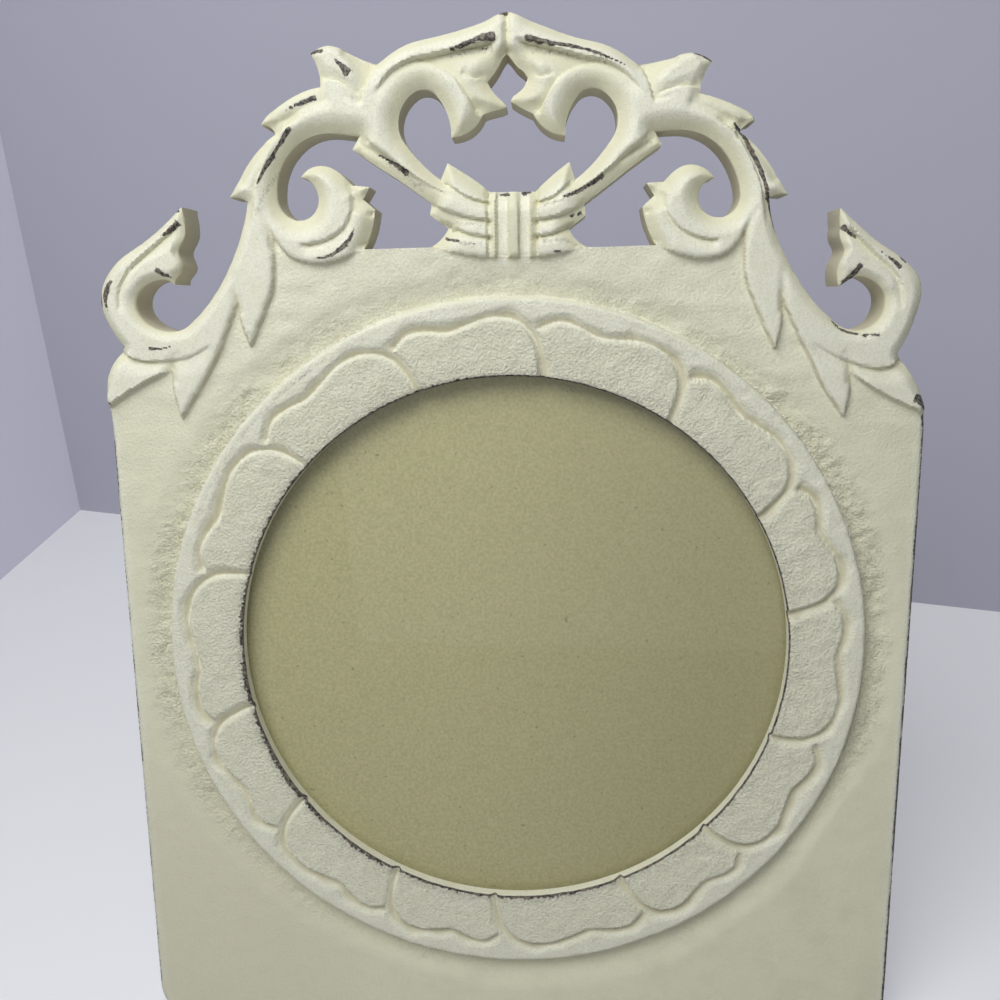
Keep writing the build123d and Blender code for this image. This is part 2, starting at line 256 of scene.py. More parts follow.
STROKES = (
    # the top bar, with a wide bevel above its ridge and a hollow under it, round the heart's lobes
    Stroke("bevel", 1.6, 2.3, 6.5, (
        (28.6, 122.6), (25, 127.4), (20.5, 129.9), (16, 130.8), (10, 132), (1, 134),
    )),
    Stroke("ledge", 3.0, 0.8, 7.0, (
        (1.2, 133.4), (10, 131.7), (16, 130.5), (20.5, 129.6), (25, 127), (29, 122),
    )),
    Stroke("ledge", 0.4, 1.9, 4.5, ((20, 129.2), (15.5, 128.2), (11.5, 125.8), (8.8, 122), (6.4, 117.6))),
    Stroke("ledge", 0.9, 0.6, 3.0, ((10, 126.3), (7, 125.2), (4.2, 126))),
    Stroke("groove", 1.5, 1.2, 1.2, ((0, 139.5), (0, 134), (0, 128))),
    # three leaves on the shoulder of the scroll
    Stroke("ledge", 1.2, 1.9, 6.0, ((30.4, 120), (29.2, 124.8), (27.2, 129.6))),
    Stroke("roll", 0.7, 0.3, 2.4, ((39.8, 130.4), (35.5, 127.8), (33, 125), (31, 121.5))),
    Stroke("ledge", 1.3, 0.8, 3.4, ((40.4, 124.2), (35.5, 123.9), (31, 121.8))),
    Stroke("groove", 1.0, 1.5, 2.4, ((37, 121.6), (43, 119.9), (47, 118), (51.5, 116.4))),
    Stroke("ledge", 0.9, 1.5, 3.6, (
        (56.2, 94), (55, 99), (53.5, 105), (51, 110.5), (48, 114.8), (43, 118.4),
    )),
    Stroke("groove", 0.5, 0.9, 2.2, ((51.5, 113.4), (55.2, 108.6), (58, 103.4))),
    # the curl of the scroll and the two nicks outside it
    Stroke("ledge", 0.7, 1.8, 3.4, (
        (34.8, 106.4), (33.6, 101.4), (34.6, 97.5), (37, 94.8), (41, 93), (46, 92.4),
    )),
    Stroke("groove", 1.4, 0.2, 1.5, ((50.9, 90.5), (51.8, 94.5), (52.6, 97), (54, 99.4))),
    Stroke("groove", 1.0, 0.3, 1.3, ((28.6, 101.6), (30.6, 102.6), (32.8, 104))),
    Stroke("groove", 0.9, 0.2, 1.2, ((29, 98.2), (31, 98.8), (33, 100.2))),
    # the strap from the bow to the scroll
    Stroke("ledge", 0.9, 1.2, 3.0, ((11, 101.9), (16, 104), (22, 108), (27, 112), (30.4, 115.6))),
    Stroke("groove", 1.0, 0.4, 1.2, ((31.4, 113.2), (27, 110.9), (22.6, 108.4))),
    # the bow: bars in the middle, ribs fanning to the side
    Stroke("channel", 1.4, 1.4, 1.45, ((BOW_GROOVE, 80), (BOW_GROOVE, 95), (BOW_GROOVE, 110))),
    Stroke("ledge", 1.5, 1.5, 2.6, ((5.7, 110), (5.7, 95), (5.7, 80))),
    Stroke("ledge", 1.7, 1.0, 2.8, ((4.2, 100.6), (9, 101.9), (13.6, 105.4))),
    Stroke("ledge", 1.9, 1.3, 3.0, ((3.8, 96.9), (10, 98), (16.8, 100.6))),
    Stroke("ledge", 1.9, 1.4, 2.6, ((3.8, 93.5), (9, 94.4), (14.4, 96.9))),
    # the hook with its forked end, and the leaves under it
    Stroke("ledge", 1.9, 0.7, 4.2, (
        (71.2, 96.6), (75.2, 93.4), (79.6, 89.8), (83.2, 86.2), (85.2, 82), (85.4, 76),
    )),
    Stroke("roll", 1.2, 0.3, 2.2, ((70, 87.8), (75, 88.4), (79.2, 86.9), (82, 84), (82.4, 80))),
    Stroke("ledge", 0.5, 2.0, 4.6, ((65.4, 72), (70, 69), (74, 67.4), (79, 66.4), (83.5, 67), (88, 70.5))),
    Stroke("roll", 0.5, 0.7, 2.2, ((76, 63.4), (80, 61.8), (85, 60.2), (91, 57.2))),
    Stroke("groove", 1.2, 0.2, 1.6, ((75.2, 61.6), (75, 64.8), (74.4, 67), (72.6, 69.4))),
    Stroke("groove", 1.2, 0.2, 1.5, ((59.4, 77), (59.9, 80.5), (60.2, 83.4), (60, 87))),
)

# Where the carver's hand left the template: place, then how far across and up it moved; zeros hold it
DRIFT = (
    (-42, 129.5, 1.0, 2.4), (-60.4, 101.4, 0, 1.2), (-71, 99.4, -0.5, 1.6), (-83, 90, -1.3, 0.8),
    (-89.2, 78, -1.6, 0.8), (-81.6, 78, -1.9, 1.0), (-85, 69.5, -1.5, 2.2), (-88.6, 63.8, -2.0, 2.0),
    (-45, 106, -0.8, 1.0), (-32.6, 112, -1.1, 0), (70.8, 99.4, -0.8, -1.6), (83, 90, -2.6, -1.0),
    (89.2, 78, -1.7, 1.0), (84.8, 69, -1.3, -1.7), (88.6, 63.8, -1.7, -1.2), (91, 57, 0, -2.0),
    (59.7, 90, -2.2, 0), (65.5, 80, -2.0, -0.6), (57.5, 95, -2.3, 0), (54.8, 110, -2.0, -0.6),
    (52.6, 117, -0.9, -1.0), (45, 122, -0.8, -2.5), (40, 123.2, -0.2, -1.7), (42.1, 129.4, 0.9, -1.4),
    (35, 130.5, 0, -1.5), (25, 131, -0.5, -1.5), (20, 133.2, 0, -1.3), (44.2, 105.8, -0.7, -1.2),
    (57.6, 71, 0, -2.0), (74.2, 55, -1.7, 0), (75, 65.2, -2.2, -1.0), (83, 61, 0, -3.5),
    (0, 90, 1.2, 0), (0, 97, 1.2, 0), (0, 104, 1.2, 0), (-17, 99, -0.7, 0.3), (17, 99, 0, -0.4),
    (76, 73, 0, 0), (48, 98, 0, 0), (22, 120, 0, 0), (36, 116, 0, 0), (-20, 124, 0, 0), (-91, 52, 0, 0),
)

# How far each row of the drift reaches, how firmly the template holds elsewhere, and the fade to the panel
DRIFT_RADIUS = 7.5
DRIFT_HOLD = 0.3
DRIFT_FADE = 10.0

# Nicks and swellings of single edges after the drift: where they are, how far they move, and their reach
NICKS = (
    (-71, 91.2, -1.7, 0, 2.4), (-72.4, 84.8, -1.3, 0.2, 2.2), (69.6, 89.6, 1.9, 0, 2.4),
    (69.7, 94.4, 0.7, 0, 2.4), (71.1, 83.6, -0.4, -1.2, 2.4), (0, 128.8, -0.2, 1.9, 2.2),
    (4.1, 126.4, 0, 1.1, 2.0), (2.1, 121.2, -1.2, 0.5, 2.0), (-1.7, 120.7, 1.4, -0.6, 2.0),
)

# Rubbed places where the dark undercoat shows: half width at either end, then the line it follows
WORN_PLACES = (
    (0.3, 0.5, ((-90.8, 84.2), (-90.9, 81), (-90.8, 79.2))),
    (0.3, 1.2, ((-87.2, 85.2), (-88.4, 84.2), (-89, 82.6))),
    (1.4, 0.2, ((-88.8, 83.6), (-89.4, 81.4), (-89.1, 78.4))),
    (1.5, 0.1, ((-71.7, 97.6), (-73.2, 96.2), (-75.8, 94.5))),
    (0.3, 0.5, ((-71.9, 101), (-72.1, 99.4))),
    (0.9, 0.1, ((-77.4, 87.7), (-76.3, 86.6), (-73.9, 85.4))),
    (0.7, 0.5, ((-42.2, 131.0), (-40.2, 131.5), (-38.2, 131.6))),
    (0.2, 1.6, ((-36.2, 129.8), (-34.6, 128.4), (-33, 126.6))),
    (0.1, 0.9, ((-47.4, 119.9), (-44, 121.2), (-40.2, 122.6))),
    (0.7, 0.3, ((-46.0, 116.8), (-48.8, 113), (-52, 108.8))),
    (0.7, 0.1, ((-49.8, 111.4), (-52.6, 107.4), (-55.4, 102.2))),
    (0.7, 0.4, ((-1.6, 138.4), (0.2, 138.2))),
    (1.3, 0.05, ((-2.0, 133.6), (-5.4, 133.2), (-12.5, 130.9))),
    (0.1, 0.9, ((-28.2, 111), (-24.6, 109), (-21.0, 106.6))),
    (0.1, 0.9, ((-42.4, 89.2), (-38.5, 90), (-34.8, 92.6))),
    (0.9, 0.1, ((-36.4, 91.2), (-34.4, 93.4), (-33.0, 95.8))),
    (0.4, 0.1, ((-14, 93.2), (-10.6, 92.6))),
    (0.5, 0.1, ((-80.6, 70.4), (-77.4, 70.3), (-74.6, 71))),
    (0.6, 0.2, ((-91, 58.8), (-90.2, 57.6))),
    (0.9, 0.5, ((3.4, 133.3), (7, 132.4), (11, 131.6))),
    (0.6, 0.1, ((9, 132), (17, 130.4), (25.4, 127.0))),
    (0.3, 0.9, ((38.0, 129.8), (40.4, 129.3), (42.8, 128.0))),
    (0.4, 0.8, ((47.0, 116.0), (49.4, 113.2), (51.6, 109.2))),
    (0.8, 0.3, ((50, 112.2), (53.8, 104), (56.8, 93.4))),
    (0.3, 0.7, ((11.2, 101.2), (15.6, 102.9), (20.6, 106))),
    (0.7, 0.5, ((2.6, 102.3), (4.8, 102.8))),
    (0.4, 0.5, ((-2.2, 102.2), (0.2, 102.3))),
    (0.2, 0.6, ((12.8, 97.4), (15.8, 98.2))),
    (0.5, 0.1, ((9.6, 90), (11.4, 90.3))),
    (0.9, 0.3, ((70.5, 94.8), (71.8, 93.4), (73.8, 91.9))),
    (0.1, 0.8, ((78.6, 89.3), (81, 87.6), (83.2, 85.6))),
    (0.2, 0.5, ((81.4, 89.7), (83, 88.5), (84.6, 86.7))),
    (1.1, 0.8, ((70.9, 82.2), (72.4, 83.5), (74.9, 86.8))),
    (0.2, 0.4, ((68, 75.8), (71.6, 73), (75.4, 71.8), (80, 71.8))),
    (1.6, 1.4, ((87.6, 58.6), (91.6, 55.8))),
)

# Grey smears, given like the worn places: painted shade on the low side of the ribs, the strap and the top
# bar, and rubbed dirt
SHADE_AND_DIRT_SMEARS = (
    (0.5, 1.5, ((-26.6, 109.6), (-22.4, 106.6), (-17.6, 103.2))),
    (0.4, 0.9, ((-16, 97.6), (-11, 96.4), (-5, 95.6))),
    (0.4, 0.9, ((-14, 93.4), (-10, 92.2), (-5, 91.8))),
    (0.9, 0.4, ((7, 92.2), (11, 92.6), (15, 91.4))),
    (0.9, 0.4, ((7, 99.8), (11, 100.6), (16, 102.8))),
    (1.6, 0.6, ((-2.4, 131.4), (-6, 131.2), (-13, 129.8))),
    (1.2, 0.5, ((4, 131), (10, 130.4), (22, 128))),
    (1.0, 0.4, ((-49, 108), (-52, 104), (-55, 98))),
    (1.2, 0.5, ((-58, 74), (-57.8, 71.8))),
)

# Lumps of paint in the moat: place, size and height
PAINT_LUMPS = ((-64.4, -31.6, 1.7, 1.3), (-62.2, -35.0, 0.9, 0.7))

# Petals: where each groove meets the window, by its turn from the top in degrees
PETAL_TURNS = (-46.9, -19.1, 6.3, 33.4, 60.3, 81.9, 109.3, 134.4, 156.2, 184.5, 206.8, 233.0, 256.9, 286.4)

# The wave that each groove repeats: reach from the centre, and share of the way to where the next one ends
PETAL_WAVE = (
    (73.4, -0.08), (75.6, 0.03), (76.1, 0.10), (75.6, 0.20), (74.4, 0.33), (75.2, 0.46), (76.4, 0.60),
    (76.3, 0.72), (75.0, 0.83), (72.0, 0.92), (67.5, 0.97), (62.5, 1.0),
)


def to_world(points):
    """Plank coordinates in millimetres, across, up and out, to the frame's metres."""
    across, up, out = np.asarray(points, float).T
    along = WINDOW_CENTRE.y / MM + up * sin(LEAN) - out * cos(LEAN)
    height = WINDOW_CENTRE.z / MM + up * cos(LEAN) + out * sin(LEAN)
    return np.column_stack((across, along, height)) * MM


def window_centre():
    """The middle of the window on the plank's front plane, found from the glass that lies behind it."""
    low, high = (Vector(corner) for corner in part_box("glass_pane"))
    behind = (LIP_THICKNESS + GLASS_THICKNESS / 2) * MM
    return (low + high) / 2 + Vector((0, -cos(LEAN), sin(LEAN))) * behind


WINDOW_CENTRE = window_centre()


def to_plank(points):
    """The frame's metres to plank coordinates in millimetres."""
    offset = (np.asarray(points, float) - np.array(WINDOW_CENTRE)) / MM
    up = offset[:, 1] * sin(LEAN) + offset[:, 2] * cos(LEAN)
    out = -offset[:, 1] * cos(LEAN) + offset[:, 2] * sin(LEAN)
    return np.column_stack((offset[:, 0], up, out))


def plank_points(node):
    """The points of a CAD node's mesh in plank coordinates."""
    mesh = frame["nodes"][node].data
    places = np.zeros(len(mesh.vertices) * 3)
    mesh.vertices.foreach_get("co", places)
    return to_plank(places.reshape(-1, 3))


def smooth_path(points, spacing=0.5):
    """A smooth line through the points, sampled about every spacing millimetres."""
    knots = np.array(points, float)
    before = np.vstack((2 * knots[0] - knots[1], knots[:-1]))
    after = np.vstack((knots[1:], 2 * knots[-1] - knots[-2]))
    tangents = (after - before) / 2
    pieces = []
    for start, end, leave, arrive in zip(knots[:-1], knots[1:], tangents[:-1], tangents[1:]):
        count = max(2, int(np.linalg.norm(end - start) / spacing))
        t = np.linspace(0, 1, count, endpoint=False)[:, None]
        pieces.append(
            (2 * t**3 - 3 * t**2 + 1) * start
            + (t**3 - 2 * t**2 + t) * leave
            + (3 * t**2 - 2 * t**3) * end
            + (t**3 - t**2) * arrive
        )
    return np.vstack(pieces + [knots[-1:]])


def ramp(value, low, high):
    """0 below low and 1 above high, with a smooth rise between them."""
    share = np.clip((value - low) / (high - low), 0, 1)
    return share * share * (3 - 2 * share)


class Noise:
    """Smooth random values over the plank from one fixed table."""

    def __init__(self, seed):
        self.table = np.random.RandomState(seed).rand(NOISE_CELLS, NOISE_CELLS) * 2 - 1

    def at(self, across, up, size):
        """Values from -1 to 1 whose bumps are about size millimetres across."""
        x, y = np.asarray(across) / size + NOISE_OFFSET, np.asarray(up) / size + NOISE_OFFSET
        column, row = np.floor(x).astype(int), np.floor(y).astype(int)
        fx, fy = ramp(x - column, 0, 1), ramp(y - row, 0, 1)
        columns = [(column + i) % NOISE_CELLS for i in (0, 1)]
        values = [[self.table[(row + j) % NOISE_CELLS, i] for i in columns] for j in (0, 1)]
        low, high = (left * (1 - fx) + right * fx for left, right in values)
        return low * (1 - fy) + high * fy


rough = Noise(NOISE_SEED)


def tapered(along, share):
    """1 along a path that fades to 0 over a share of its length at either end."""
    return ramp(along, 0, share) * (1 - ramp(along, 1 - share, 1))


def near_path(points, path, reach):
    """For the points within reach of a path: their indices, distances, sides and shares of its length."""
    low, high = path.min(0) - reach, path.max(0) + reach
    chosen = np.nonzero(((points > low) & (points < high)).all(1))[0]
    if not len(chosen):
        return chosen, np.zeros(0), np.zeros(0), np.zeros(0)
    start, run = path[:-1], path[1:] - path[:-1]
    length = np.maximum((run**2).sum(1), 1e-9)
    ahead = points[chosen, None, :] - start[None]
    share = np.clip((ahead * run).sum(2) / length, 0, 1)
    miss = ahead - share[..., None] * run
    distance = np.sqrt((miss**2).sum(2))
    best = distance.argmin(1)
    rows = np.arange(len(chosen))
    cross = run[best, 0] * ahead[rows, best, 1] - run[best, 1] * ahead[rows, best, 0]
    along = (best + share[rows, best]) / len(run)
    return chosen, distance[rows, best], np.where(cross > 0, 1.0, -1.0), along


def stroke_heights(points):
    """What all strokes add to the surface at plank points; both halves are carved alike."""
    half = np.column_stack((np.abs(points[:, 0]), points[:, 1]))
    height = np.zeros(len(points))
    for stroke in STROKES:
        path = smooth_path(stroke.path)
        chosen, distance, side, along = near_path(half, path, stroke.reach)
        depth = stroke.start_depth + (stroke.end_depth - stroke.start_depth) * along
        share = np.clip(distance / stroke.reach, 0, 1)
        if stroke.kind == "groove":
            change = -depth * (1 - share) ** 1.2
        elif stroke.kind == "roll":
            change = depth * (1 - share**2) ** 2
        elif stroke.kind == "channel":
            change = -depth * (1 - ramp(distance, stroke.reach - 0.4, stroke.reach))
        elif stroke.kind == "bevel":
            change = np.where(side < 0, -depth * share, 0)
        else:
            lip = ramp(distance, 0, 0.45)
            change = np.where(side < 0, -depth * lip * (1 - share) ** 1.6, 0)
        height[chosen] += change * tapered(along, 0.12)
    return height


def pared_edge(distance, width, drop):
    """Height of an edge that is pared away over width and falls by drop at the very edge."""
    share = np.clip(1 - distance / width, 0, 1)
    return -drop * share**1.5


def distances(points, outline):
    """Distance from each point to the nearest sample of an outline."""
    tree = KDTree(len(outline))
    for index, (x, y) in enumerate(outline):
        tree.insert((x, y, 0), index)
    tree.balance()
    return np.array([tree.find((x, y, 0))[2] for x, y in points])


def inside(points, outline):
    """True for the points that a closed outline goes round."""
    answer = np.zeros(len(points), bool)
    ends = np.roll(outline, -1, axis=0)
    for (x0, y0), (x1, y1) in zip(outline, ends):
        if y0 == y1:
            continue
        crosses = (points[:, 1] > y0) != (points[:, 1] > y1)
        reach = x0 + (points[:, 1] - y0) * (x1 - x0) / (y1 - y0)
        answer ^= crosses & (points[:, 0] < reach)
    return answer


def divided(outline, spacing):
    """A closed outline with its long runs divided, so that no step is much longer than spacing."""
    made = []
    for start, end in zip(outline, np.roll(outline, -1, axis=0)):
        count = max(1, int(round(np.linalg.norm(end - start) / spacing)))
        made.append(start + (end - start) * np.linspace(0, 1, count, endpoint=False)[:, None])
    made = np.vstack(made)
    step = np.linalg.norm(made - np.roll(made, 1, axis=0), axis=1)
    return made[step > 0.3 * spacing]


def drifted(points):
    """Plank points moved as far as the carver's hand left the template there."""
    moved = np.array(points, float)
    total = np.full(len(moved), DRIFT_HOLD)
    shift = np.zeros((len(moved), 2))
    for across, up, aside, upward in DRIFT:
        reach = ((moved[:, 0] - across) ** 2 + (moved[:, 1] - up) ** 2) / DRIFT_RADIUS**2
        weight = np.exp(-reach)
        total += weight
        shift += weight[:, None] * (aside, upward)
    keep = ramp(moved[:, 1], PANEL_TOP - DRIFT_FADE, PANEL_TOP)[:, None]
    moved[:, :2] += keep * shift / total[:, None]
    placed = moved[:, :2].copy()
    for across, up, aside, upward, reach in NICKS:
        near = np.exp(-((placed[:, 0] - across) ** 2 + (placed[:, 1] - up) ** 2) / reach**2)
        moved[:, :2] += near[:, None] * (aside, upward)
    moved[:, 0] = np.clip(moved[:, 0], -HALF_WIDTH, HALF_WIDTH)
    return moved


def plank_outlines():
    """The plank's outlines on its flat back: the silhouette first, then the openings of the crest."""
    points = plank_points("carved_frame")
    key = {}
    same = np.array([key.setdefault(tuple(row), len(key)) for row in np.round(points, 3)])
    spots = np.zeros((len(key), 3))
    spots[same] = points
    edges = {}
    for polygon in frame["nodes"]["carved_frame"].data.polygons:
        corners = same[list(polygon.vertices)]
        if np.all(spots[corners, 2] < FLAT_TOLERANCE - PLANK_THICKNESS):
            for a, b in zip(corners, np.roll(corners, -1)):
                edges[(a, b)] = True
    rim = {a: b for a, b in edges if (b, a) not in edges}
    loops = []
    while rim:
        first = next(iter(rim))
        loop = [first]
        following = rim.pop(first)
        while following != first:
            loop.append(following)
            following = rim.pop(following)
        loops.append(spots[loop, :2])
    span = [np.ptp(loop[:, 1]) for loop in loops]
    silhouette = loops[int(np.argmax(span))]
    openings = [loop for loop in loops if loop is not silhouette and loop[:, 1].min() > CREST_FOOT]
    return silhouette, openings


def add_object(name, data):
    """A new object in the scene."""
    made = bpy.data.objects.new(name, data)
    bpy.context.scene.collection.objects.link(made)
    return made


def smooth_object(name, mesh, sharp_angle):
    """A new object whose mesh is smooth, but for edges above an angle in degrees."""
    mesh.polygons.foreach_set("use_smooth", np.ones(len(mesh.polygons), bool))
    mesh.set_sharp_from_angle(angle=radians(sharp_angle))
    return add_object(name, mesh)


def build_mesh(name, points, faces, values):
    """A smooth mesh object from plank points, with named numbers on its points."""
    mesh = bpy.data.meshes.new(name)
    mesh.from_pydata(to_world(points).tolist(), [], faces)
    for label, numbers in values.items():
        layer = mesh.attributes.new(label, "FLOAT", "POINT")
        layer.data.foreach_set("value", np.asarray(numbers, np.float32))
    mesh.validate()
    return smooth_object(name, mesh, CARVED_SHARP)


def triangulated(outlines, extra):
    """Triangles between closed outlines and through extra points; the first outline goes round the rest."""
    points = [tuple(p) for outline in outlines for p in outline]
    edges = []
    start = 0
    for outline in outlines:
        count = len(outline)
        edges += [(start + i, start + (i + 1) % count) for i in range(count)]
        start += count
    points += [tuple(p) for p in extra]
    made = delaunay_2d_cdt([Vector(p) for p in points], edges, [], FILL_OUTLINE, OUTLINE_TOLERANCE)
    places = np.array([tuple(p) for p in made[0]])
    faces, origin = np.array([tuple(face) for face in made[2]]), made[3]
    on_outline = np.array([min(ids, default=start) < start for ids in origin])
    doubtful = np.nonzero(on_outline[faces].all(1))[0]
    middles = places[faces[doubtful]].mean(1)
    wrong = ~inside(middles, outlines[0])
    for outline in outlines[1:]:
        wrong |= inside(middles, outline)
    faces = np.delete(faces, doubtful[wrong], axis=0)
    return places, [tuple(int(i) for i in face) for face in faces], origin


def facing(points, faces, front):
    """The faces turned so that all look to the front, or all to the back."""
    a, b, c = (points[[face[i] for face in faces]] for i in range(3))
    turn = (b[:, 0] - a[:, 0]) * (c[:, 1] - a[:, 1]) - (b[:, 1] - a[:, 1]) * (c[:, 0] - a[:, 0])
    return [face if (t > 0) == front else face[::-1] for face, t in zip(faces, turn)]


def moat_reach(points):
    """Distance of plank points from the ring, and how wide the moat is at their turn."""
    reach = np.hypot(points[:, 0], points[:, 1])
    width = MOAT_REACH + 2.5 * rough.at(60 * points[:, 0] / reach, 60 * points[:, 1] / reach, 14)
    return reach - RING_RADIUS, width


def gouged(points):
    """How rough the gouge left the moat at plank points, from 0 to 1."""
    reach, width = moat_reach(points)
    turn = np.degrees(np.arctan2(points[:, 0], points[:, 1]))
    sides = 0.3 + np.exp(-(((turn + 75) / 62) ** 2)) + 1.1 * np.exp(-(((turn - 75) / 50) ** 2))
    patchy = 0.75 + 0.45 * rough.at(points[:, 0], points[:, 1], 7)
    return np.clip(sides * patchy, 0, 1) * (1 - ramp(reach, 0.25 * width, 0.9 * width))


def ground_heights(points):
    """Height of the sunk ground, deepest and roughest in the moat beside the ring."""
    across, up = points[:, 0], points[:, 1]
    reach, width = moat_reach(points)
    height = -MOAT_DEPTH + (MOAT_DEPTH - GROUND_DEPTH) * ramp(reach, 0.1, 0.98 * width)
    turned = 0.8 * across + 0.6 * up, 0.8 * up - 0.6 * across
    firmer = 1 + 0.5 * ramp(across, 0, 60)
    height += firmer * gouged(points) * (0.3 * rough.at(*turned, 1.3) + 0.2 * rough.at(across, up, 3.1))
    uneven = 0.1 * rough.at(across, up, 9) + 0.09 * rough.at(across + 40, 1.6 * up, 4.5)
    height += uneven * (0.6 + 1.6 * ramp(up, 20, 80))
    for place_across, place_up, size, lump in PAINT_LUMPS:
        away = np.hypot(across - place_across, up - place_up) / size
        height += lump * np.clip(1 - away**2, 0, 1) ** 2
    return np.maximum(height, LEAST_WOOD - LIP_THICKNESS)


def ground_outline():
    """The closed outline of the right half's sunk ground, along the crest's lower edge."""
    edge = np.vstack([smooth_path(stretch)[:-1] for stretch in GROUND_EDGE])
    beyond = 2 * HALF_WIDTH
    return edge, np.vstack((edge, ((beyond, PANEL_TOP), (beyond, -beyond), (0, -beyond))))


def worn(points, places):
    """How far the paint is rubbed through along the worn places, from 0 to 1."""
    amount = np.zeros(len(points))
    for start_width, end_width, line in places:
        path = np.array(line, float) if len(line) < 3 else smooth_path(line)
        chosen, distance, _, along = near_path(points, path, 3.0 * max(start_width, end_width))
        half_width = start_width + (end_width - start_width) * along
        half_width *= 0.9 + 0.25 * rough.at(points[chosen, 0], points[chosen, 1], 1.3)
        strength = 1 - ramp(distance, 0.2 * half_width, 1.15 * half_width + 0.1)
        amount[chosen] = np.maximum(amount[chosen], strength * tapered(along, 0.07))
    return amount


def crest_surface(points, silhouette, openings):
    """Heights of the crest and the ground round it, with the numbers that its paint reads."""
    across, up = points.T
    edge, outline = ground_outline()
    half = np.column_stack((np.abs(across), up))
    in_ground = inside(half, outline)
    to_edge = distances(half, edge)
    to_side = distances(points, divided(silhouette, SAMPLE_SPACING))
    to_gap = distances(points, np.vstack([divided(loop, SAMPLE_SPACING) for loop in openings]))
    crest = stroke_heights(points)
    crest += pared_edge(to_side, *SIDE_PARED) + pared_edge(to_gap, *GAP_PARED)
    crest += pared_edge(to_edge, *LEAF_PARED)
    crest += 0.05 * rough.at(across, up, 5) + 0.02 * rough.at(across, up, 1.4)
    ground = ground_heights(points) + pared_edge(to_side, *GROUND_PARED)
    wall = ramp(to_edge, 0.0, 0.6)
    ground = np.minimum(ground * wall + (1 - wall) * np.minimum(crest, -0.5), ground + 1.6)
    height = np.minimum(np.where(in_ground, ground, np.maximum(crest, -CREST_LOWEST)), -FRONT_SKIN)
    # White dragged over the ground, with painted light: whiter towards the crest at the top, and a painted
    # highlight along the openings' edges.
    brushed_and_lit_ground = 0.2 + 0.35 * ramp(up, 45, 75)
    brushed_and_lit_ground = np.maximum(brushed_and_lit_ground, 0.95 - 0.95 * ramp(to_gap, 0.25, 0.8))
    raised = np.where(in_ground, brushed_and_lit_ground, ramp(height, -1.5, -0.25))
    beside_panel = up < PANEL_TOP
    raised = np.maximum(raised, np.where(beside_panel, 0.9 - 0.9 * ramp(to_side, 0.6, 3.2), 0))
    bow = (half[:, 0] < BOW_HALF) & (np.abs(up - BOW_MIDDLE) < BOW_REACH)
    raised = np.where(bow, 0.2 + 0.8 * (1 - ramp(np.abs(half[:, 0] - BOW_GROOVE), 0.9, 1.3)), raised)
    moved = drifted(points)
    # the grey smears are painted shade under ledges and rubbed dirt
    rubbed = np.maximum(worn(moved, WORN_PLACES), 0.42 * worn(moved, SHADE_AND_DIRT_SMEARS))
    patchy = 0.5 + 0.5 * rough.at(across / 4, up, 4)
    chipped = 0.35 + 0.4 * patchy + 0.2 * ramp(across, 0, 60) - 0.5 * to_side
    rubbed = np.maximum(rubbed, np.where(beside_panel & (to_side < 0.8), chipped, 0))
    # Painted shade, kept in "side": a dark line on the ground along the crest's lower edge, the moat beside
    # the ring, and the panel's lower left.
    shade_beside_ring = 0.1 - 0.1 * ramp(np.hypot(across, up) - RING_RADIUS, 1, 9)
    painted_shade_lower_left = 0.2 * ramp(-across, 0, 60) * ramp(-up, -10, 50)
    shaded = np.maximum(0.5 - 0.5 * ramp(to_edge, 0.1, 0.9), np.maximum(shade_beside_ring, painted_shade_lower_left))
    coarse = np.maximum(gouged(points), 0.1 + 0.2 * ramp(up, 0, 70))
    return {
        "height": height, "raised": raised, "rubbed": rubbed, "side": np.where(in_ground, shaded, 0),
        "gouged": np.where(in_ground, coarse, 0.1),
    }


def normals_beside(loop):
    """Unit normals on the right hand of a closed loop, at each of its points."""
    run = np.roll(loop, -1, axis=0) - np.roll(loop, 1, axis=0)
    return np.column_stack((run[:, 1], -run[:, 0])) / np.linalg.norm(run, axis=1)[:, None]


def offset_rows(loops, offsets, keep_clear):
    """Rows of points along the right hand of the loops, where they stay clear of every edge."""
    rows = []
    for loop in loops:
        beside = normals_beside(loop)
        for offset in offsets:
            row = loop + beside * offset
            rows.append(row[keep_clear(row) > 0.92 * offset])
    return np.vstack(rows)


def hex_points(low, high, spacing):
    """A honeycomb of points over a box."""
    rows = np.arange(low[1], high[1], spacing * HONEYCOMB_RISE)
    columns = np.arange(low[0], high[0], spacing)
    across, up = np.meshgrid(columns, rows)
    across[1::2] += spacing / 2
    return np.column_stack((across.ravel(), up.ravel()))


def walls(loop_top, loop_bottom):
    """Faces of a wall between two closed rows of points, given by their numbers."""
    top, bottom = np.asarray(loop_top).tolist(), np.asarray(loop_bottom).tolist()
    following = np.roll(np.arange(len(top)), -1)
    return [(top[i], top[j], bottom[j], bottom[i]) for i, j in enumerate(following)]


def renumbered(faces, origin, loops):
    """Faces of triangulated outlines, given by the numbers that the loops hold for the same points."""
    numbers = np.concatenate(loops)
    return [tuple(int(numbers[origin[i][0]]) for i in face) for face in faces]


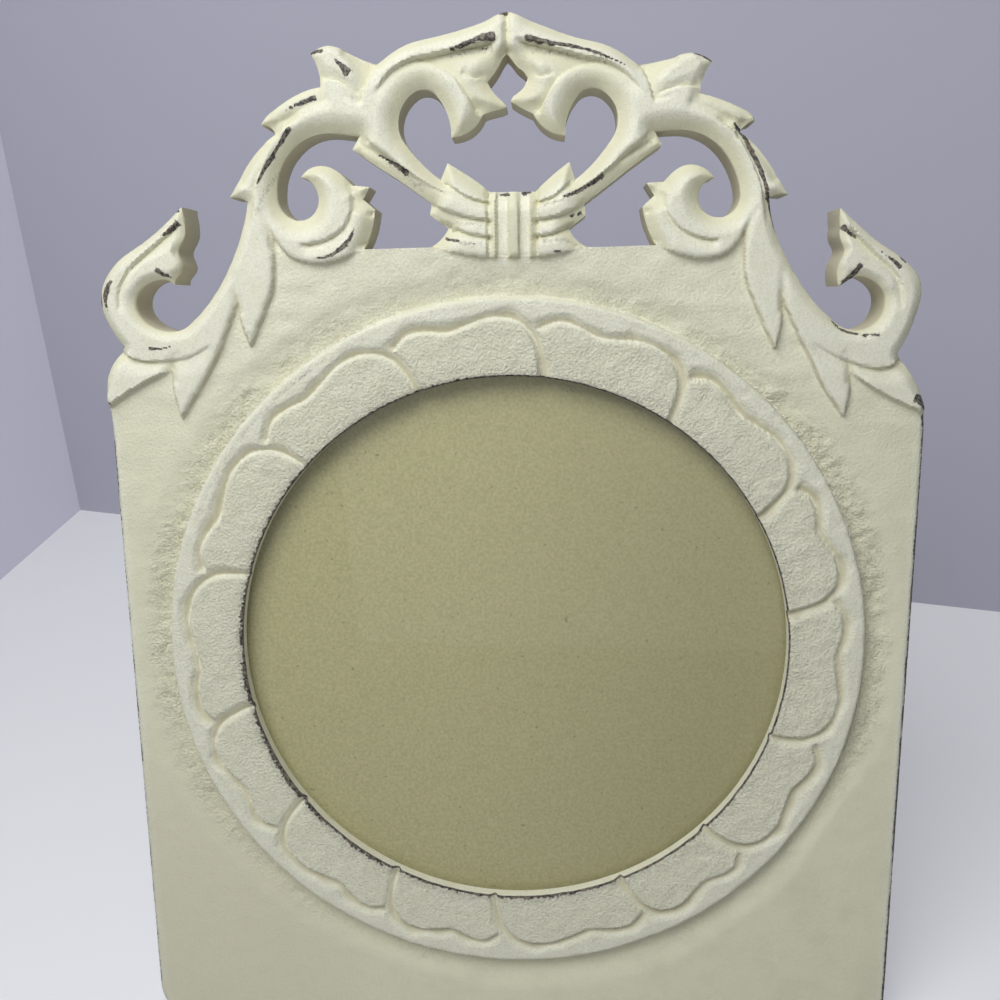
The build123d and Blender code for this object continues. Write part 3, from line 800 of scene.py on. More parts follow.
def carve_crest_and_panel(name):
    """The plank's front layer outside the ring: pierced crest, leaves and sunk ground."""
    silhouette, openings = plank_outlines()
    outer = divided(silhouette, EDGE_SPACING)
    gaps = [divided(loop, EDGE_SPACING) for loop in openings]
    count = int(2 * pi * SEAM_RADIUS / SEAM_SPACING)
    turns = np.linspace(0, 2 * pi, count, endpoint=False)
    seam = SEAM_RADIUS * np.column_stack((np.sin(turns), np.cos(turns)))
    loops = [outer] + gaps + [seam]
    edges = np.vstack([divided(loop, SAMPLE_SPACING) for loop in [silhouette] + openings + [seam]])

    def clear_of_edges(points):
        return distances(points, edges)

    low, high = silhouette.min(0), silhouette.max(0)
    fine = hex_points((low[0], CREST_FOOT), high, CREST_SPACING)
    coarse, bank = (
        hex_points(low, (high[0], CREST_FOOT - CREST_GAP), spacing)
        for spacing in (PANEL_SPACING, BANK_SPACING)
    )
    bank_edge = RING_RADIUS + 2 * MOAT_REACH
    coarse = coarse[np.hypot(*coarse.T) > bank_edge + BANK_SPACING]
    bank = bank[np.hypot(*bank.T) < bank_edge]
    filling = []
    for points, gap in ((fine, 1.5), (coarse, 0.7), (bank, 0.5)):
        wanted = inside(points, silhouette) & (np.hypot(*points.T) > SEAM_RADIUS)
        for loop in openings:
            wanted &= ~inside(points, loop)
        points = points[wanted]
        filling.append(points[clear_of_edges(points) > gap])
    rows = offset_rows([outer] + gaps, EDGE_ROWS, clear_of_edges)
    places, faces, origin = triangulated(loops, np.vstack([rows] + filling))
    values = crest_surface(places, silhouette, openings)
    top = np.column_stack((places, values.pop("height")))
    number = {old: new for new, olds in enumerate(origin) for old in olds}
    rims, start = [], 0
    for loop in loops:
        rims.append([number[start + i] for i in range(len(loop))])
        start += len(loop)
    return finish_layer(name, top, faces, rims, values)


def finish_layer(name, top, faces, rims, values):
    """Close a carved surface with walls down to the lip's rear and a flat underside."""
    points = [top]
    faces = facing(top, faces, True)
    total = len(top)
    under = []
    numbers = {label: [column] for label, column in values.items()}
    for rim in rims:
        bottom = top[rim].copy()
        bottom[:, 2] = -LIP_THICKNESS
        points.append(bottom)
        ids = list(range(total, total + len(rim)))
        total += len(rim)
        under.append(ids)
        faces += walls(rim, ids)
        # The walls take "side": painted shade with thin paint down the openings and the plank's sides.
        for label, column in numbers.items():
            column.append(np.full(len(rim), float(label == "side")))
    points = np.vstack(points)
    _, lower, origin = triangulated([points[ids, :2] for ids in under], np.zeros((0, 2)))
    faces += facing(points, renumbered(lower, origin, under), False)
    points[:, :2] = drifted(points)[:, :2]
    return build_mesh(name, points, faces, {label: np.concatenate(c) for label, c in numbers.items()})


def petal_paths():
    """The line of every petal's groove, clockwise round the ring and then down to the window."""
    ends = PETAL_TURNS[1:] + (PETAL_TURNS[0] + 360,)
    for start, end in zip(PETAL_TURNS, ends):
        wave = [(reach, radians(start + share * (end - start))) for reach, share in PETAL_WAVE]
        yield smooth_path([(reach * sin(turn), reach * cos(turn)) for reach, turn in wave])


def ring_surface(points):
    """Heights of the ring of petals down to the moat, with the numbers that its paint reads."""
    across, up = points[:, 0], points[:, 1]
    reach = np.hypot(across, up)
    turn = np.degrees(np.arctan2(across, up))
    cut = np.zeros(len(points))
    painted_highlight = np.zeros(len(points))
    for number, path in enumerate(petal_paths()):
        chosen, distance, side, along = near_path(points, path, 1.4 * PETAL_SLOPE)
        hand = rough.at(13 * along, np.full(len(along), 5.0 * number), 1.0)
        width = np.where(side < 0, PETAL_WALL, PETAL_SLOPE * (1 + 0.35 * hand))
        depth = PETAL_GROOVE * (1 + 0.2 * hand) * ramp(along, 0, 0.04)
        carved = -depth * (1 - ramp(distance, 0, width))
        deeper = carved < cut[chosen]
        # painted highlight: the groove's wall on the petal's side is brushed white
        painted_highlight[chosen] = np.where(deeper, (side < 0) * ramp(-carved, 0.02, 0.25), painted_highlight[chosen])
        cut[chosen] = np.minimum(cut[chosen], carved)
    nicks = 0.08 * rough.at(across, up, 1.6) + 0.08 * rough.at(across, up, 2.7)
    top = cut + 0.1 * rough.at(across, up, 5) + nicks * (1 + 0.6 * ramp(across, 0, 60))
    gap = reach - WINDOW_RADIUS
    top += pared_edge(gap, *WINDOW_PARED) + pared_edge(RING_RADIUS - reach, *RIM_PARED)
    dish = -PETAL_DISH * np.clip((RING_RADIUS - PETAL_RIM - reach) / (RING_WIDTH - PETAL_RIM), 0, 1)
    fall = ramp(reach, RING_RADIUS - 0.1, RING_RADIUS + 0.4)
    height = np.minimum((top + dish) * (1 - fall) + ground_heights(points) * fall, -FRONT_SKIN)
    standing = ramp(top, -1.1, -0.4)
    outer = ramp(reach, 74, 78)
    raised = np.maximum(painted_highlight, standing * (0.6 + 0.4 * outer))
    patchy = 0.5 + 0.5 * rough.at(across, up, 9)
    worst = 0.5 - 0.5 * np.sin(np.radians(turn + 20))
    line = 1 - ramp(gap, 0.1, 0.5)
    smear = (1 - ramp(gap, 0.2, 0.8 + 2.2 * worst)) * (0.22 + 0.2 * patchy + 0.25 * worst)
    scratch = np.clip(1 - np.abs(reach - 78.9) / 0.7, 0, 1) * np.exp(-(((turn + 45) / 28) ** 2))
    scratch *= 0.3 + 0.35 * patchy
    bristles = 1.0 - 0.4 * ramp(gap, 0.5, 4.5) - 0.3 * outer
    coarse = bristles * standing * (1 - fall) + fall * gouged(points)
    # painted shade in the grooves' bottoms, kept in "side"
    shaded = 0.35 * ramp(-cut, 0.4, 1.2) * (1 - painted_highlight)
    return {
        "height": height, "raised": raised, "rubbed": np.maximum(np.maximum(line, smear), scratch),
        "side": shaded, "gouged": coarse,
    }


def carve_ring(name):
    """The ring of petals round the window, from the window's wall out to the moat."""
    count = RING_POINTS
    radii = WINDOW_RADIUS + RING_ROWS
    turns = np.linspace(0, 2 * pi, count, endpoint=False)
    radius, turn = np.meshgrid(radii, turns, indexing="ij")
    flat = np.column_stack(((radius * np.sin(turn)).ravel(), (radius * np.cos(turn)).ravel()))
    values = ring_surface(flat)
    height = values.pop("height")
    rows = [np.column_stack((flat, height))]
    low = flat[:count]
    for share in WALL_ROWS:
        rows.append(np.column_stack((low, (1 - share) * height[:count] - share * LIP_THICKNESS)))
    for rim in (low, flat[-count:]):
        rows.append(np.column_stack((rim, np.full(count, -LIP_THICKNESS))))
    points = np.vstack(rows)
    number = np.arange(len(points)).reshape(-1, count)
    last = len(radii) - 1
    order = [*range(last, -1, -1), *range(last + 1, last + 5), last]
    faces = []
    for outer, inner in zip(order[:-1], order[1:]):
        faces += walls(number[outer], number[inner])
    # The rows below the top take the dry-brush white, a painted highlight on the window's wall, and no
    # painted shade.
    for label, column in values.items():
        below = np.full(len(points) - len(flat), float(label == "raised"))
        values[label] = np.concatenate((column, below))
    return build_mesh(name, points, faces, values)


def rounded_square(half, corner):
    """The outline of a square with round corners about the window's centre."""
    turns = np.radians(np.arange(0, 91, 15))
    arc = np.column_stack((np.cos(turns), np.sin(turns))) * corner + half - corner
    return np.vstack([np.column_stack((arc[:, 0] * a - arc[:, 1] * b, arc[:, 0] * b + arc[:, 1] * a))
                      for a, b in ((1, 0), (0, 1), (-1, 0), (0, -1))])


def carve_plank_back(name):
    """The plank behind the lip, with the rebate that holds glass, card and backing."""
    silhouette, openings = plank_outlines()
    loops = [divided(loop, BACK_SPACING) for loop in [silhouette] + openings]
    loops.append(rounded_square(REBATE_HALF, REBATE_CORNER))
    levels = (-LIP_THICKNESS, BACK_EASE_DEEP - PLANK_THICKNESS, -PLANK_THICKNESS)
    insets = (0.0, 0.0, BACK_EASE_IN)
    points, faces, total, rims = [], [], 0, [[] for loop in loops]
    for index, loop in enumerate(loops):
        inward = normals_beside(loop)
        if index == len(loops) - 1:
            inward = -inward
        for level, inset in zip(levels, insets):
            row = loop + inward * inset
            points.append(np.column_stack((row, np.full(len(row), level))))
            rims[index].append(list(range(total, total + len(row))))
            total += len(row)
    points = np.vstack(points)
    for index, rim in enumerate(rims):
        for upper, lower in zip(rim[:-1], rim[1:]):
            band = walls(upper, lower)
            faces += [face[::-1] for face in band] if index == len(loops) - 1 else band
    _, made, origin = triangulated(loops, np.zeros((0, 2)))
    for level, front in ((0, True), (len(levels) - 1, False)):
        faces += facing(points, renumbered(made, origin, [rim[level] for rim in rims]), front)
    rear = points[:, 2] < FLAT_TOLERANCE - PLANK_THICKNESS
    points[:, :2] = drifted(points)[:, :2]
    # All but the rear take "side": painted shade with thin paint on the walls of the plank and its openings.
    return build_mesh(name, points, faces, {"rear": rear, "side": ~rear})


def slab(name, node, bevel):
    """A square sheet with round corners and bevelled edges in the place of a flat CAD node."""
    corners = plank_points(node)
    low, high = corners.min(0), corners.max(0)
    low[2] += SHEET_GAP
    high[2] -= SHEET_GAP
    half = (high[:2] - low[:2]).min() / 2
    points, faces = [], []
    for level, inset in ((high[2], bevel), (high[2] - bevel, 0), (low[2] + bevel, 0), (low[2], bevel)):
        outline = rounded_square(half - inset, REBATE_CORNER - inset)
        points.append(np.column_stack((outline, np.full(len(outline), level))))
    count = len(points[0])
    rows = np.arange(4 * count).reshape(4, count)
    for upper, lower in zip(rows[:-1], rows[1:]):
        faces += walls(upper, lower)
    faces += [rows[0].tolist(), rows[-1][::-1].tolist()]
    piece = build_mesh(name, np.vstack(points), faces, {})
    piece.data.polygons.foreach_set("use_smooth", np.zeros(len(piece.data.polygons), bool))
    return piece


def merged_shape(node):
    """A CAD node's shape with its doubled points merged, to be worked on."""
    shape = bmesh.new()
    shape.from_mesh(frame["nodes"][node].data)
    bmesh.ops.remove_doubles(shape, verts=shape.verts, dist=MERGE_DISTANCE * MM)
    return shape


def eased_copy(name, node, bevel):
    """A copy of a CAD node with its points merged and its sharp edges eased by a small bevel."""
    shape = merged_shape(node)
    bmesh.ops.dissolve_limit(shape, angle_limit=radians(EASED_FLAT), verts=shape.verts, edges=shape.edges)
    angle = radians(EASED_EDGE)
    sharp = [edge for edge in shape.edges if edge.is_manifold and edge.calc_face_angle() > angle]
    bmesh.ops.bevel(
        shape, geom=sharp, offset=bevel * MM, segments=EASED_STEPS, profile=0.5, affect="EDGES",
        clamp_overlap=True,
    )
    mesh = bpy.data.meshes.new(name)
    shape.to_mesh(mesh)
    shape.free()
    return smooth_object(name, mesh, HARDWARE_SHARP)


def screw_tops(node, axis):
    """The middle of each screw's top in a CAD node of several screws, whose heads look along axis."""
    shape = merged_shape(node)
    waiting, tops = set(shape.verts), []
    while waiting:
        island, edge = [], [waiting.pop()]
        while edge:
            point = edge.pop()
            island.append(point.co.copy())
            beside = {link.other_vert(point) for link in point.link_edges} & waiting
            waiting -= beside
            edge += beside
        highest = max(point.dot(axis) for point in island)
        low = Vector([min(point[i] for point in island) for i in range(3)])
        high = Vector([max(point[i] for point in island) for i in range(3)])
        middle = (low + high) / 2
        tops.append(middle + axis * (highest - middle.dot(axis)))
    shape.free()
    return tops


def feed(tree, socket, value):
    """Give an input what another socket puts out, or a plain value."""
    if isinstance(value, bpy.types.NodeSocket):
        tree.links.new(value, socket)
    else:
        socket.default_value = value


def node_in(tree, kind, **values):
    """A node of a tree; each value is a plain input or a socket that feeds the input of that name."""
    node = tree.nodes.new(kind)
    for name, value in values.items():
        feed(tree, node.inputs[name.replace("_", " ").title()], value)
    return node


def boolean(tree, operation, first, second):
    """A mesh boolean of two shapes."""
    node = tree.nodes.new("GeometryNodeMeshBoolean")
    node.operation = operation
    tree.links.new(first, node.inputs["Mesh 1" if operation == "DIFFERENCE" else "Mesh 2"])
    tree.links.new(second, node.inputs["Mesh 2"])
    return node.outputs["Mesh"]


def vector_in(tree, x=0.0, y=0.0, z=0.0):
    """A vector made of plain numbers and sockets."""
    return node_in(tree, "ShaderNodeCombineXYZ", x=x, y=y, z=z).outputs[0]


def lifted(tree, shape, z):
    """A shape that is moved up by what a socket puts out."""
    moved = node_in(tree, "GeometryNodeTransform", geometry=shape, translation=vector_in(tree, z=z))
    return moved.outputs["Geometry"]


def screw_tree(name, countersunk):
    """Geometry nodes that stand a slotted wood screw on every point, its head along the point's axis."""
    tree = bpy.data.node_groups.new(name, "GeometryNodeTree")
    tree.interface.new_socket("Geometry", in_out="INPUT", socket_type="NodeSocketGeometry")
    for label in BUTTON_SCREW:
        tree.interface.new_socket(label, in_out="INPUT", socket_type="NodeSocketFloat")
    tree.interface.new_socket("Material", in_out="INPUT", socket_type="NodeSocketMaterial")
    tree.interface.new_socket("Geometry", in_out="OUTPUT", socket_type="NodeSocketGeometry")
    given = tree.nodes.new("NodeGroupInput").outputs
    radius, height = given["Head Radius"], given["Head Height"]
    shank, length = given["Shank Radius"], given["Shank Length"]

    if countersunk:
        cone = node_in(tree, "GeometryNodeMeshCone", vertices=SCREW_FACETS, depth=height)
        tree.links.new(radius, cone.inputs["Radius Top"])
        tree.links.new(shank, cone.inputs["Radius Bottom"])
        head = cone.outputs["Mesh"]
    else:
        ball = node_in(
            tree, "GeometryNodeMeshUVSphere", segments=SCREW_FACETS, rings=DOME_RINGS, radius=1.0
        )
        flatter = vector_in(tree, radius, radius, height)
        dome = node_in(tree, "GeometryNodeTransform", geometry=ball.outputs["Mesh"], scale=flatter)
        wide = calculate(tree, "MULTIPLY", radius, 4.0)
        upper = node_in(tree, "GeometryNodeMeshCube", size=vector_in(tree, wide, wide, wide))
        upper = lifted(tree, upper.outputs["Mesh"], calculate(tree, "MULTIPLY", radius, 2.0))
        head = boolean(tree, "INTERSECT", dome.outputs["Geometry"], upper)
    head = lifted(tree, head, calculate(tree, "MULTIPLY", height, -1.0))

    stem = node_in(tree, "GeometryNodeMeshCylinder", vertices=SCREW_FACETS, radius=shank, depth=length)
    middle = calculate(tree, "MULTIPLY_ADD", length, -0.5, calculate(tree, "MULTIPLY", height, -0.5))
    screw = boolean(tree, "UNION", head, lifted(tree, stem.outputs["Mesh"], middle))
    across = calculate(tree, "MULTIPLY", radius, 3.0)
    depth = calculate(tree, "MULTIPLY", given["Slot Depth"], 2.0)
    slot = node_in(tree, "GeometryNodeMeshCube", size=vector_in(tree, across, given["Slot Width"], depth))
    screw = boolean(tree, "DIFFERENCE", screw, slot.outputs["Mesh"])

    axis = tree.nodes.new("GeometryNodeInputNamedAttribute")
    axis.data_type = "FLOAT_VECTOR"
    axis.inputs["Name"].default_value = "axis"
    upright = node_in(tree, "FunctionNodeAlignRotationToVector", vector=axis.outputs["Attribute"])
    angle = tree.nodes.new("FunctionNodeRandomValue")
    angle.data_type = "FLOAT"
    angle.inputs[RANDOM_MAX].default_value = pi
    angle.inputs["Seed"].default_value = SLOT_SEED
    turn = angle.outputs[RANDOM_VALUE]
    spin = node_in(tree, "FunctionNodeAxisAngleToRotation", axis=(0, 0, 1), angle=turn)
    turned = tree.nodes.new("FunctionNodeRotateRotation")
    turned.rotation_space = "LOCAL"
    tree.links.new(upright.outputs["Rotation"], turned.inputs["Rotation"])
    tree.links.new(spin.outputs["Rotation"], turned.inputs["Rotate By"])
    placed = node_in(
        tree, "GeometryNodeInstanceOnPoints",
        points=given["Geometry"], instance=screw, rotation=turned.outputs["Rotation"],
    )
    real = node_in(tree, "GeometryNodeRealizeInstances", geometry=placed.outputs["Instances"])
    finished = node_in(
        tree, "GeometryNodeSetMaterial", geometry=real.outputs["Geometry"], material=given["Material"]
    )
    end = tree.nodes.new("NodeGroupOutput")
    tree.links.new(finished.outputs["Geometry"], end.inputs["Geometry"])
    return tree


def drive_screws(name, node, axis, tree, sizes, material):
    """Slotted screws in the places of a CAD node's screws, as one plain mesh."""
    tops = screw_tops(node, axis)
    seed_mesh = bpy.data.meshes.new(name + "_places")
    seed_mesh.from_pydata(tops, [], [])
    layer = seed_mesh.attributes.new("axis", "FLOAT_VECTOR", "POINT")
    layer.data.foreach_set("vector", np.tile(np.array(axis, np.float32), len(tops)))
    places = add_object(name + "_places", seed_mesh)
    modifier = places.modifiers.new("screws", "NODES")
    modifier.node_group = tree
    for item in tree.interface.items_tree:
        if item.in_out == "INPUT" and item.name in sizes:
            modifier[item.identifier] = sizes[item.name] * MM
        elif item.in_out == "INPUT" and item.name == "Material":
            modifier[item.identifier] = material
    mesh = bpy.data.meshes.new_from_object(places.evaluated_get(bpy.context.evaluated_depsgraph_get()))
    bpy.data.objects.remove(places)
    mesh.name = name
    return smooth_object(name, mesh, SCREW_SHARP)


def fresh_material(name):
    """An empty node material with its output and one main shader."""
    made = bpy.data.materials.new(name)
    made.use_nodes = True
    tree = made.node_tree
    tree.nodes.clear()
    output = tree.nodes.new("ShaderNodeOutputMaterial")
    shader = tree.nodes.new("ShaderNodeBsdfPrincipled")
    tree.links.new(shader.outputs["BSDF"], output.inputs["Surface"])
    return made, tree, shader


def texture_noise(tree, scale, detail, stretch=(1, 1, 1)):
    """A noise texture on the piece's own coordinates; scale counts bumps to the metre."""
    place = tree.nodes.new("ShaderNodeTexCoord").outputs["Object"]
    place = node_in(tree, "ShaderNodeMapping", vector=place, scale=stretch).outputs["Vector"]
    return node_in(tree, "ShaderNodeTexNoise", vector=place, scale=scale, detail=detail).outputs["Fac"]


def attribute(tree, name):
    """A number kept on the piece's points."""
    node = tree.nodes.new("ShaderNodeAttribute")
    node.attribute_name = name
    return node.outputs["Fac"]


def calculate(tree, operation, *values):
    """A Math node on sockets or plain numbers."""
    node = tree.nodes.new("ShaderNodeMath")
    node.operation = operation
    for socket, value in zip(node.inputs, values):
        feed(tree, socket, value)
    return node.outputs[0]


def rise(tree, value, low, high, bottom=0.0, top=1.0):
    """A smooth rise from bottom to top as value goes from low to high."""
    node = node_in(
        tree, "ShaderNodeMapRange", value=value, from_min=low, from_max=high, to_min=bottom, to_max=top
    )
    node.interpolation_type = "SMOOTHSTEP"
    return node.outputs["Result"]


def blend_colours(tree, factor, first, second):
    """A colour mix by a factor's socket; each side is a socket or a plain colour."""
    node = tree.nodes.new("ShaderNodeMix")
    node.data_type = "RGBA"
    tree.links.new(factor, node.inputs[MIX_FACTOR])
    for socket, value in ((MIX_FIRST, first), (MIX_SECOND, second)):
        plain = not isinstance(value, bpy.types.NodeSocket)
        feed(tree, node.inputs[socket], (*value, 1.0) if plain else value)
    return node.outputs[MIX_RESULT]


def add_bump(tree, shader, height, depth, strength):
    """Drive the shader's normal from a height; depth is in metres."""
    bump = node_in(tree, "ShaderNodeBump", strength=strength, distance=depth, height=height)
    tree.links.new(bump.outputs["Normal"], shader.inputs["Normal"])


def node_of(tree, kind):
    """The first node of a kind in a tree."""
    return next(node for node in tree.nodes if node.type == kind)


def see_through(tree, shader, share):
    """Let a surface be clear by a share, which a socket puts out."""
    clear = tree.nodes.new("ShaderNodeBsdfTransparent")
    mix = tree.nodes.new("ShaderNodeMixShader")
    for socket, value in zip(mix.inputs, (share, shader.outputs["BSDF"], clear.outputs["BSDF"])):
        tree.links.new(value, socket)
    tree.links.new(mix.outputs["Shader"], node_of(tree, "OUTPUT_MATERIAL").inputs["Surface"])


def shader_group(name, inputs, outputs):
    """An empty shader node group with named sockets: the group, what it is given and what it puts out."""
    group = bpy.data.node_groups.new(name, "ShaderNodeTree")
    for label, kind, value in inputs:
        group.interface.new_socket(label, in_out="INPUT", socket_type=kind).default_value = value
    for label in outputs:
        group.interface.new_socket(label, in_out="OUTPUT", socket_type="NodeSocketFloat")
    given = group.nodes.new("NodeGroupInput").outputs
    result = group.nodes.new("NodeGroupOutput").inputs
    return group, given, result


def grain_group():
    """Grain or mottling on a piece's own coordinates: a mask between two tones and a height."""
    group, given, result = shader_group(
        "grain",
        (("Scale", "NodeSocketFloat", 300.0), ("Stretch", "NodeSocketVector", (1, 1, 1))),
        ("Mask", "Height"),
    )
    noise = texture_noise(group, given["Scale"], 6.0, given["Stretch"])
    group.links.new(rise(group, noise, 0.3, 0.7), result["Mask"])
    group.links.new(noise, result["Height"])
    return group


def dust_group():
    """Dust that settles in patches where a piece looks up: a mask."""
    group, given, result = shader_group("dust", (("Amount", "NodeSocketFloat", 0.3),), ("Mask",))
    coordinates = group.nodes.new("ShaderNodeTexCoord")
    parts = node_in(group, "ShaderNodeSeparateXYZ", vector=coordinates.outputs["Normal"])
    upward = rise(group, parts.outputs["Z"], -0.3, 0.9, 0.25, 1.0)
    patches = rise(group, texture_noise(group, 420.0, 5.0), 0.38, 0.66)
    settled = calculate(group, "MULTIPLY", upward, patches)
    group.links.new(calculate(group, "MULTIPLY", settled, given["Amount"]), result["Mask"])
    return group


def tarnish_group():
    """Age of bare metal: where it has dulled, and fine scratches as a height."""
    group, given, result = shader_group(
        "tarnish", (("Scale", "NodeSocketFloat", 260.0),), ("Dull", "Scratches")
    )
    clouds = rise(group, texture_noise(group, given["Scale"], 7.0), 0.4, 0.62)
    spots = rise(group, texture_noise(group, 1900.0, 3.0), 0.55, 0.7)
    dull = calculate(group, "MULTIPLY_ADD", spots, 0.45, clouds)
    group.links.new(calculate(group, "MINIMUM", dull, 1.0), result["Dull"])
    group.links.new(texture_noise(group, 900.0, 4.0, (9, 1, 0.6)), result["Scratches"])
    return group


def place_group(tree, build, **values):
    """A shared group in a material; it is built when the first material asks for it."""
    name = build.__name__.removesuffix("_group")
    node = tree.nodes.new("ShaderNodeGroup")
    node.node_tree = bpy.data.node_groups.get(name) or build()
    for label, value in values.items():
        node.inputs[label.title()].default_value = value
    return node.outputs


def metal_finish(name, settings, bright, dull, roughness):
    """Bare metal that has dulled in clouds and spots, with a little dust."""
    made, tree, shader = fresh_material(name)
    age = place_group(tree, tarnish_group, scale=260.0)
    dust = place_group(tree, dust_group, amount=0.25)
    colour = blend_colours(tree, age["Dull"], bright, dull)
    colour = blend_colours(tree, dust["Mask"], colour, settings.dust)
    tree.links.new(colour, shader.inputs["Base Color"])
    tree.links.new(rise(tree, dust["Mask"], 0.0, 0.6, 1.0, 0.4), shader.inputs["Metallic"])
    rough_spots = rise(tree, age["Dull"], 0.0, 1.0, roughness, roughness + 0.22)
    tree.links.new(rough_spots, shader.inputs["Roughness"])
    add_bump(tree, shader, age["Scratches"], 0.00003, 0.5)
    return made


def paint_material(settings):
    """Ivory paint, brushed with white on what stands up and rubbed to the dark undercoat on edges, with
    painted highlights and painted shade.
    """
    made, tree, shader = fresh_material("aged_ivory_paint")
    raised, rubbed, coarse = (attribute(tree, name) for name in ("raised", "rubbed", "gouged"))
    # white dragged over what stands up, and painted highlights on lit walls, edges and the upper ground,
    # from "raised"
    streaks = texture_noise(tree, 240.0, 5.0)
    brushed = calculate(tree, "MULTIPLY", raised, rise(tree, streaks, 0.3, 0.62, 0.65, 1.0))
    colour = blend_colours(tree, brushed, settings.ivory, settings.dry_brush)
    # dirt in specks and in the gouge's pits
    specks = texture_noise(tree, 2300.0, 4.0)
    dirt = rise(tree, specks, 0.42, 0.72, 0.0, 0.25)
    dirt = calculate(tree, "MULTIPLY", dirt, rise(tree, raised, 0.2, 0.9, 0.3, 1.0))
    colour = blend_colours(tree, dirt, colour, settings.speck)
    clods = texture_noise(tree, 1700.0, 6.0)
    pits = calculate(tree, "MULTIPLY", coarse, rise(tree, clods, 0.55, 0.36))
    colour = blend_colours(tree, calculate(tree, "MULTIPLY", pits, 0.35), colour, settings.speck)
    # painted shade from "side" on walls, in grooves and along the crest's lower edge, beside the ring and
    # low on the left, and thin paint on the sides and in patches
    patches = rise(tree, texture_noise(tree, 95.0, 6.0), 0.45, 0.68, 0.0, 0.15)
    patches = calculate(tree, "MULTIPLY", patches, rise(tree, raised, 0.25, 0.8, 1.0, 0.2))
    shade_and_thin = rise(tree, attribute(tree, "side"), 0.02, 0.5, 0.0, 0.7)
    shade_and_thin = calculate(tree, "MAXIMUM", shade_and_thin, patches)
    colour = blend_colours(tree, shade_and_thin, colour, settings.thin_paint)
    # places rubbed thin, then through to the undercoat and the timber; the grey smears among them are
    # painted shade under ledges as well as dirt
    grain = texture_noise(tree, 1300.0, 5.0)
    ragged = calculate(tree, "MULTIPLY_ADD", grain, 0.7, rubbed)
    thin = rise(tree, ragged, 0.45, 0.85, 0.0, 0.65)
    thin = calculate(tree, "MULTIPLY", thin, rise(tree, specks, 0.35, 0.6))
    colour = blend_colours(tree, thin, colour, settings.speck)
    bare = rise(tree, ragged, 0.82, 0.9)
    timber = rise(tree, texture_noise(tree, 1500.0, 4.0), 0.38, 0.62)
    under = blend_colours(tree, timber, settings.undercoat, settings.timber)
    colour = blend_colours(tree, bare, colour, under)
    # bare wood on the plank's back
    wood = place_group(tree, grain_group, **WOOD_GRAIN)
    sawn = blend_colours(tree, wood["Mask"], settings.bare_wood, settings.bare_wood_dark)
    behind = rise(tree, calculate(tree, "MULTIPLY_ADD", grain, 0.5, attribute(tree, "rear")), 1.02, 1.12)
    colour = blend_colours(tree, behind, colour, sawn)
    tree.links.new(colour, shader.inputs["Base Color"])
    tree.links.new(rise(tree, specks, 0.3, 0.7, 0.5, 0.72), shader.inputs["Roughness"])
    height = calculate(tree, "MULTIPLY_ADD", specks, 0.6, streaks)
    height = calculate(tree, "MULTIPLY_ADD", bare, -0.6, height)
    height = calculate(tree, "MULTIPLY_ADD", calculate(tree, "MULTIPLY", coarse, clods), 5.0, height)
    add_bump(tree, shader, height, 0.0003, 0.6)
    return made


def grained_finish(name, colour, darker, scale, stretch, roughness, depth=0.00015):
    """A dull finish with grain or mottling between two colours."""
    made, tree, shader = fresh_material(name)
    grain = place_group(tree, grain_group, scale=scale, stretch=stretch)
    mixed = blend_colours(tree, grain["Mask"], colour, darker)
    tree.links.new(mixed, shader.inputs["Base Color"])
    uneven = rise(tree, grain["Mask"], 0.0, 1.0, roughness - 0.08, roughness + 0.08)
    tree.links.new(uneven, shader.inputs["Roughness"])
    add_bump(tree, shader, grain["Height"], depth, 0.4)
    return made


def dusty_wood(name, settings, colour, darker, scale, stretch, roughness):
    """Bare wood or board with grain, pores and dust on what looks up."""
    made = grained_finish(name, colour, darker, scale, stretch, roughness)
    tree = made.node_tree
    shader = node_of(tree, "BSDF_PRINCIPLED")
    pores = place_group(tree, grain_group, scale=12 * scale, stretch=stretch)
    pores = rise(tree, pores["Mask"], 0.6, 0.95, 0.0, 0.5)
    dust = place_group(tree, dust_group, amount=0.3)
    wood = shader.inputs["Base Color"].links[0].from_socket
    shaded = blend_colours(tree, pores, wood, [0.45 * channel for channel in darker])
    tree.links.new(blend_colours(tree, dust["Mask"], shaded, settings.dust), shader.inputs["Base Color"])
    return made


def kraft_material(settings):
    """Kraft card: fine mottling, pale fibres and dark specks, with painted shade that darkens it to the
    right.
    """
    made, tree, shader = fresh_material("kraft_card")
    mottle = place_group(tree, grain_group, scale=1500.0)["Mask"]
    colour = blend_colours(tree, mottle, settings.kraft, settings.kraft_dark)
    fibre = texture_noise(tree, 2400.0, 3.0)
    colour = blend_colours(tree, rise(tree, fibre, 0.5, 0.8, 0.0, 0.3), colour, settings.kraft_fibre)
    speck = texture_noise(tree, 1000.0, 1.0)
    colour = blend_colours(tree, rise(tree, speck, 0.74, 0.77, 0.0, 0.45), colour, settings.undercoat)
    place = tree.nodes.new("ShaderNodeTexCoord").outputs["Object"]
    across = node_in(tree, "ShaderNodeSeparateXYZ", vector=place).outputs["X"]
    # painted shade: the card darkens towards the right
    shadowed = rise(tree, across, -0.02, 0.062, 0.0, 0.4)
    colour = blend_colours(tree, shadowed, colour, settings.kraft_browned)
    tree.links.new(colour, shader.inputs["Base Color"])
    tree.links.new(rise(tree, mottle, 0.0, 1.0, 0.75, 0.9), shader.inputs["Roughness"])
    add_bump(tree, shader, fibre, 0.00003, 0.3)
    return made


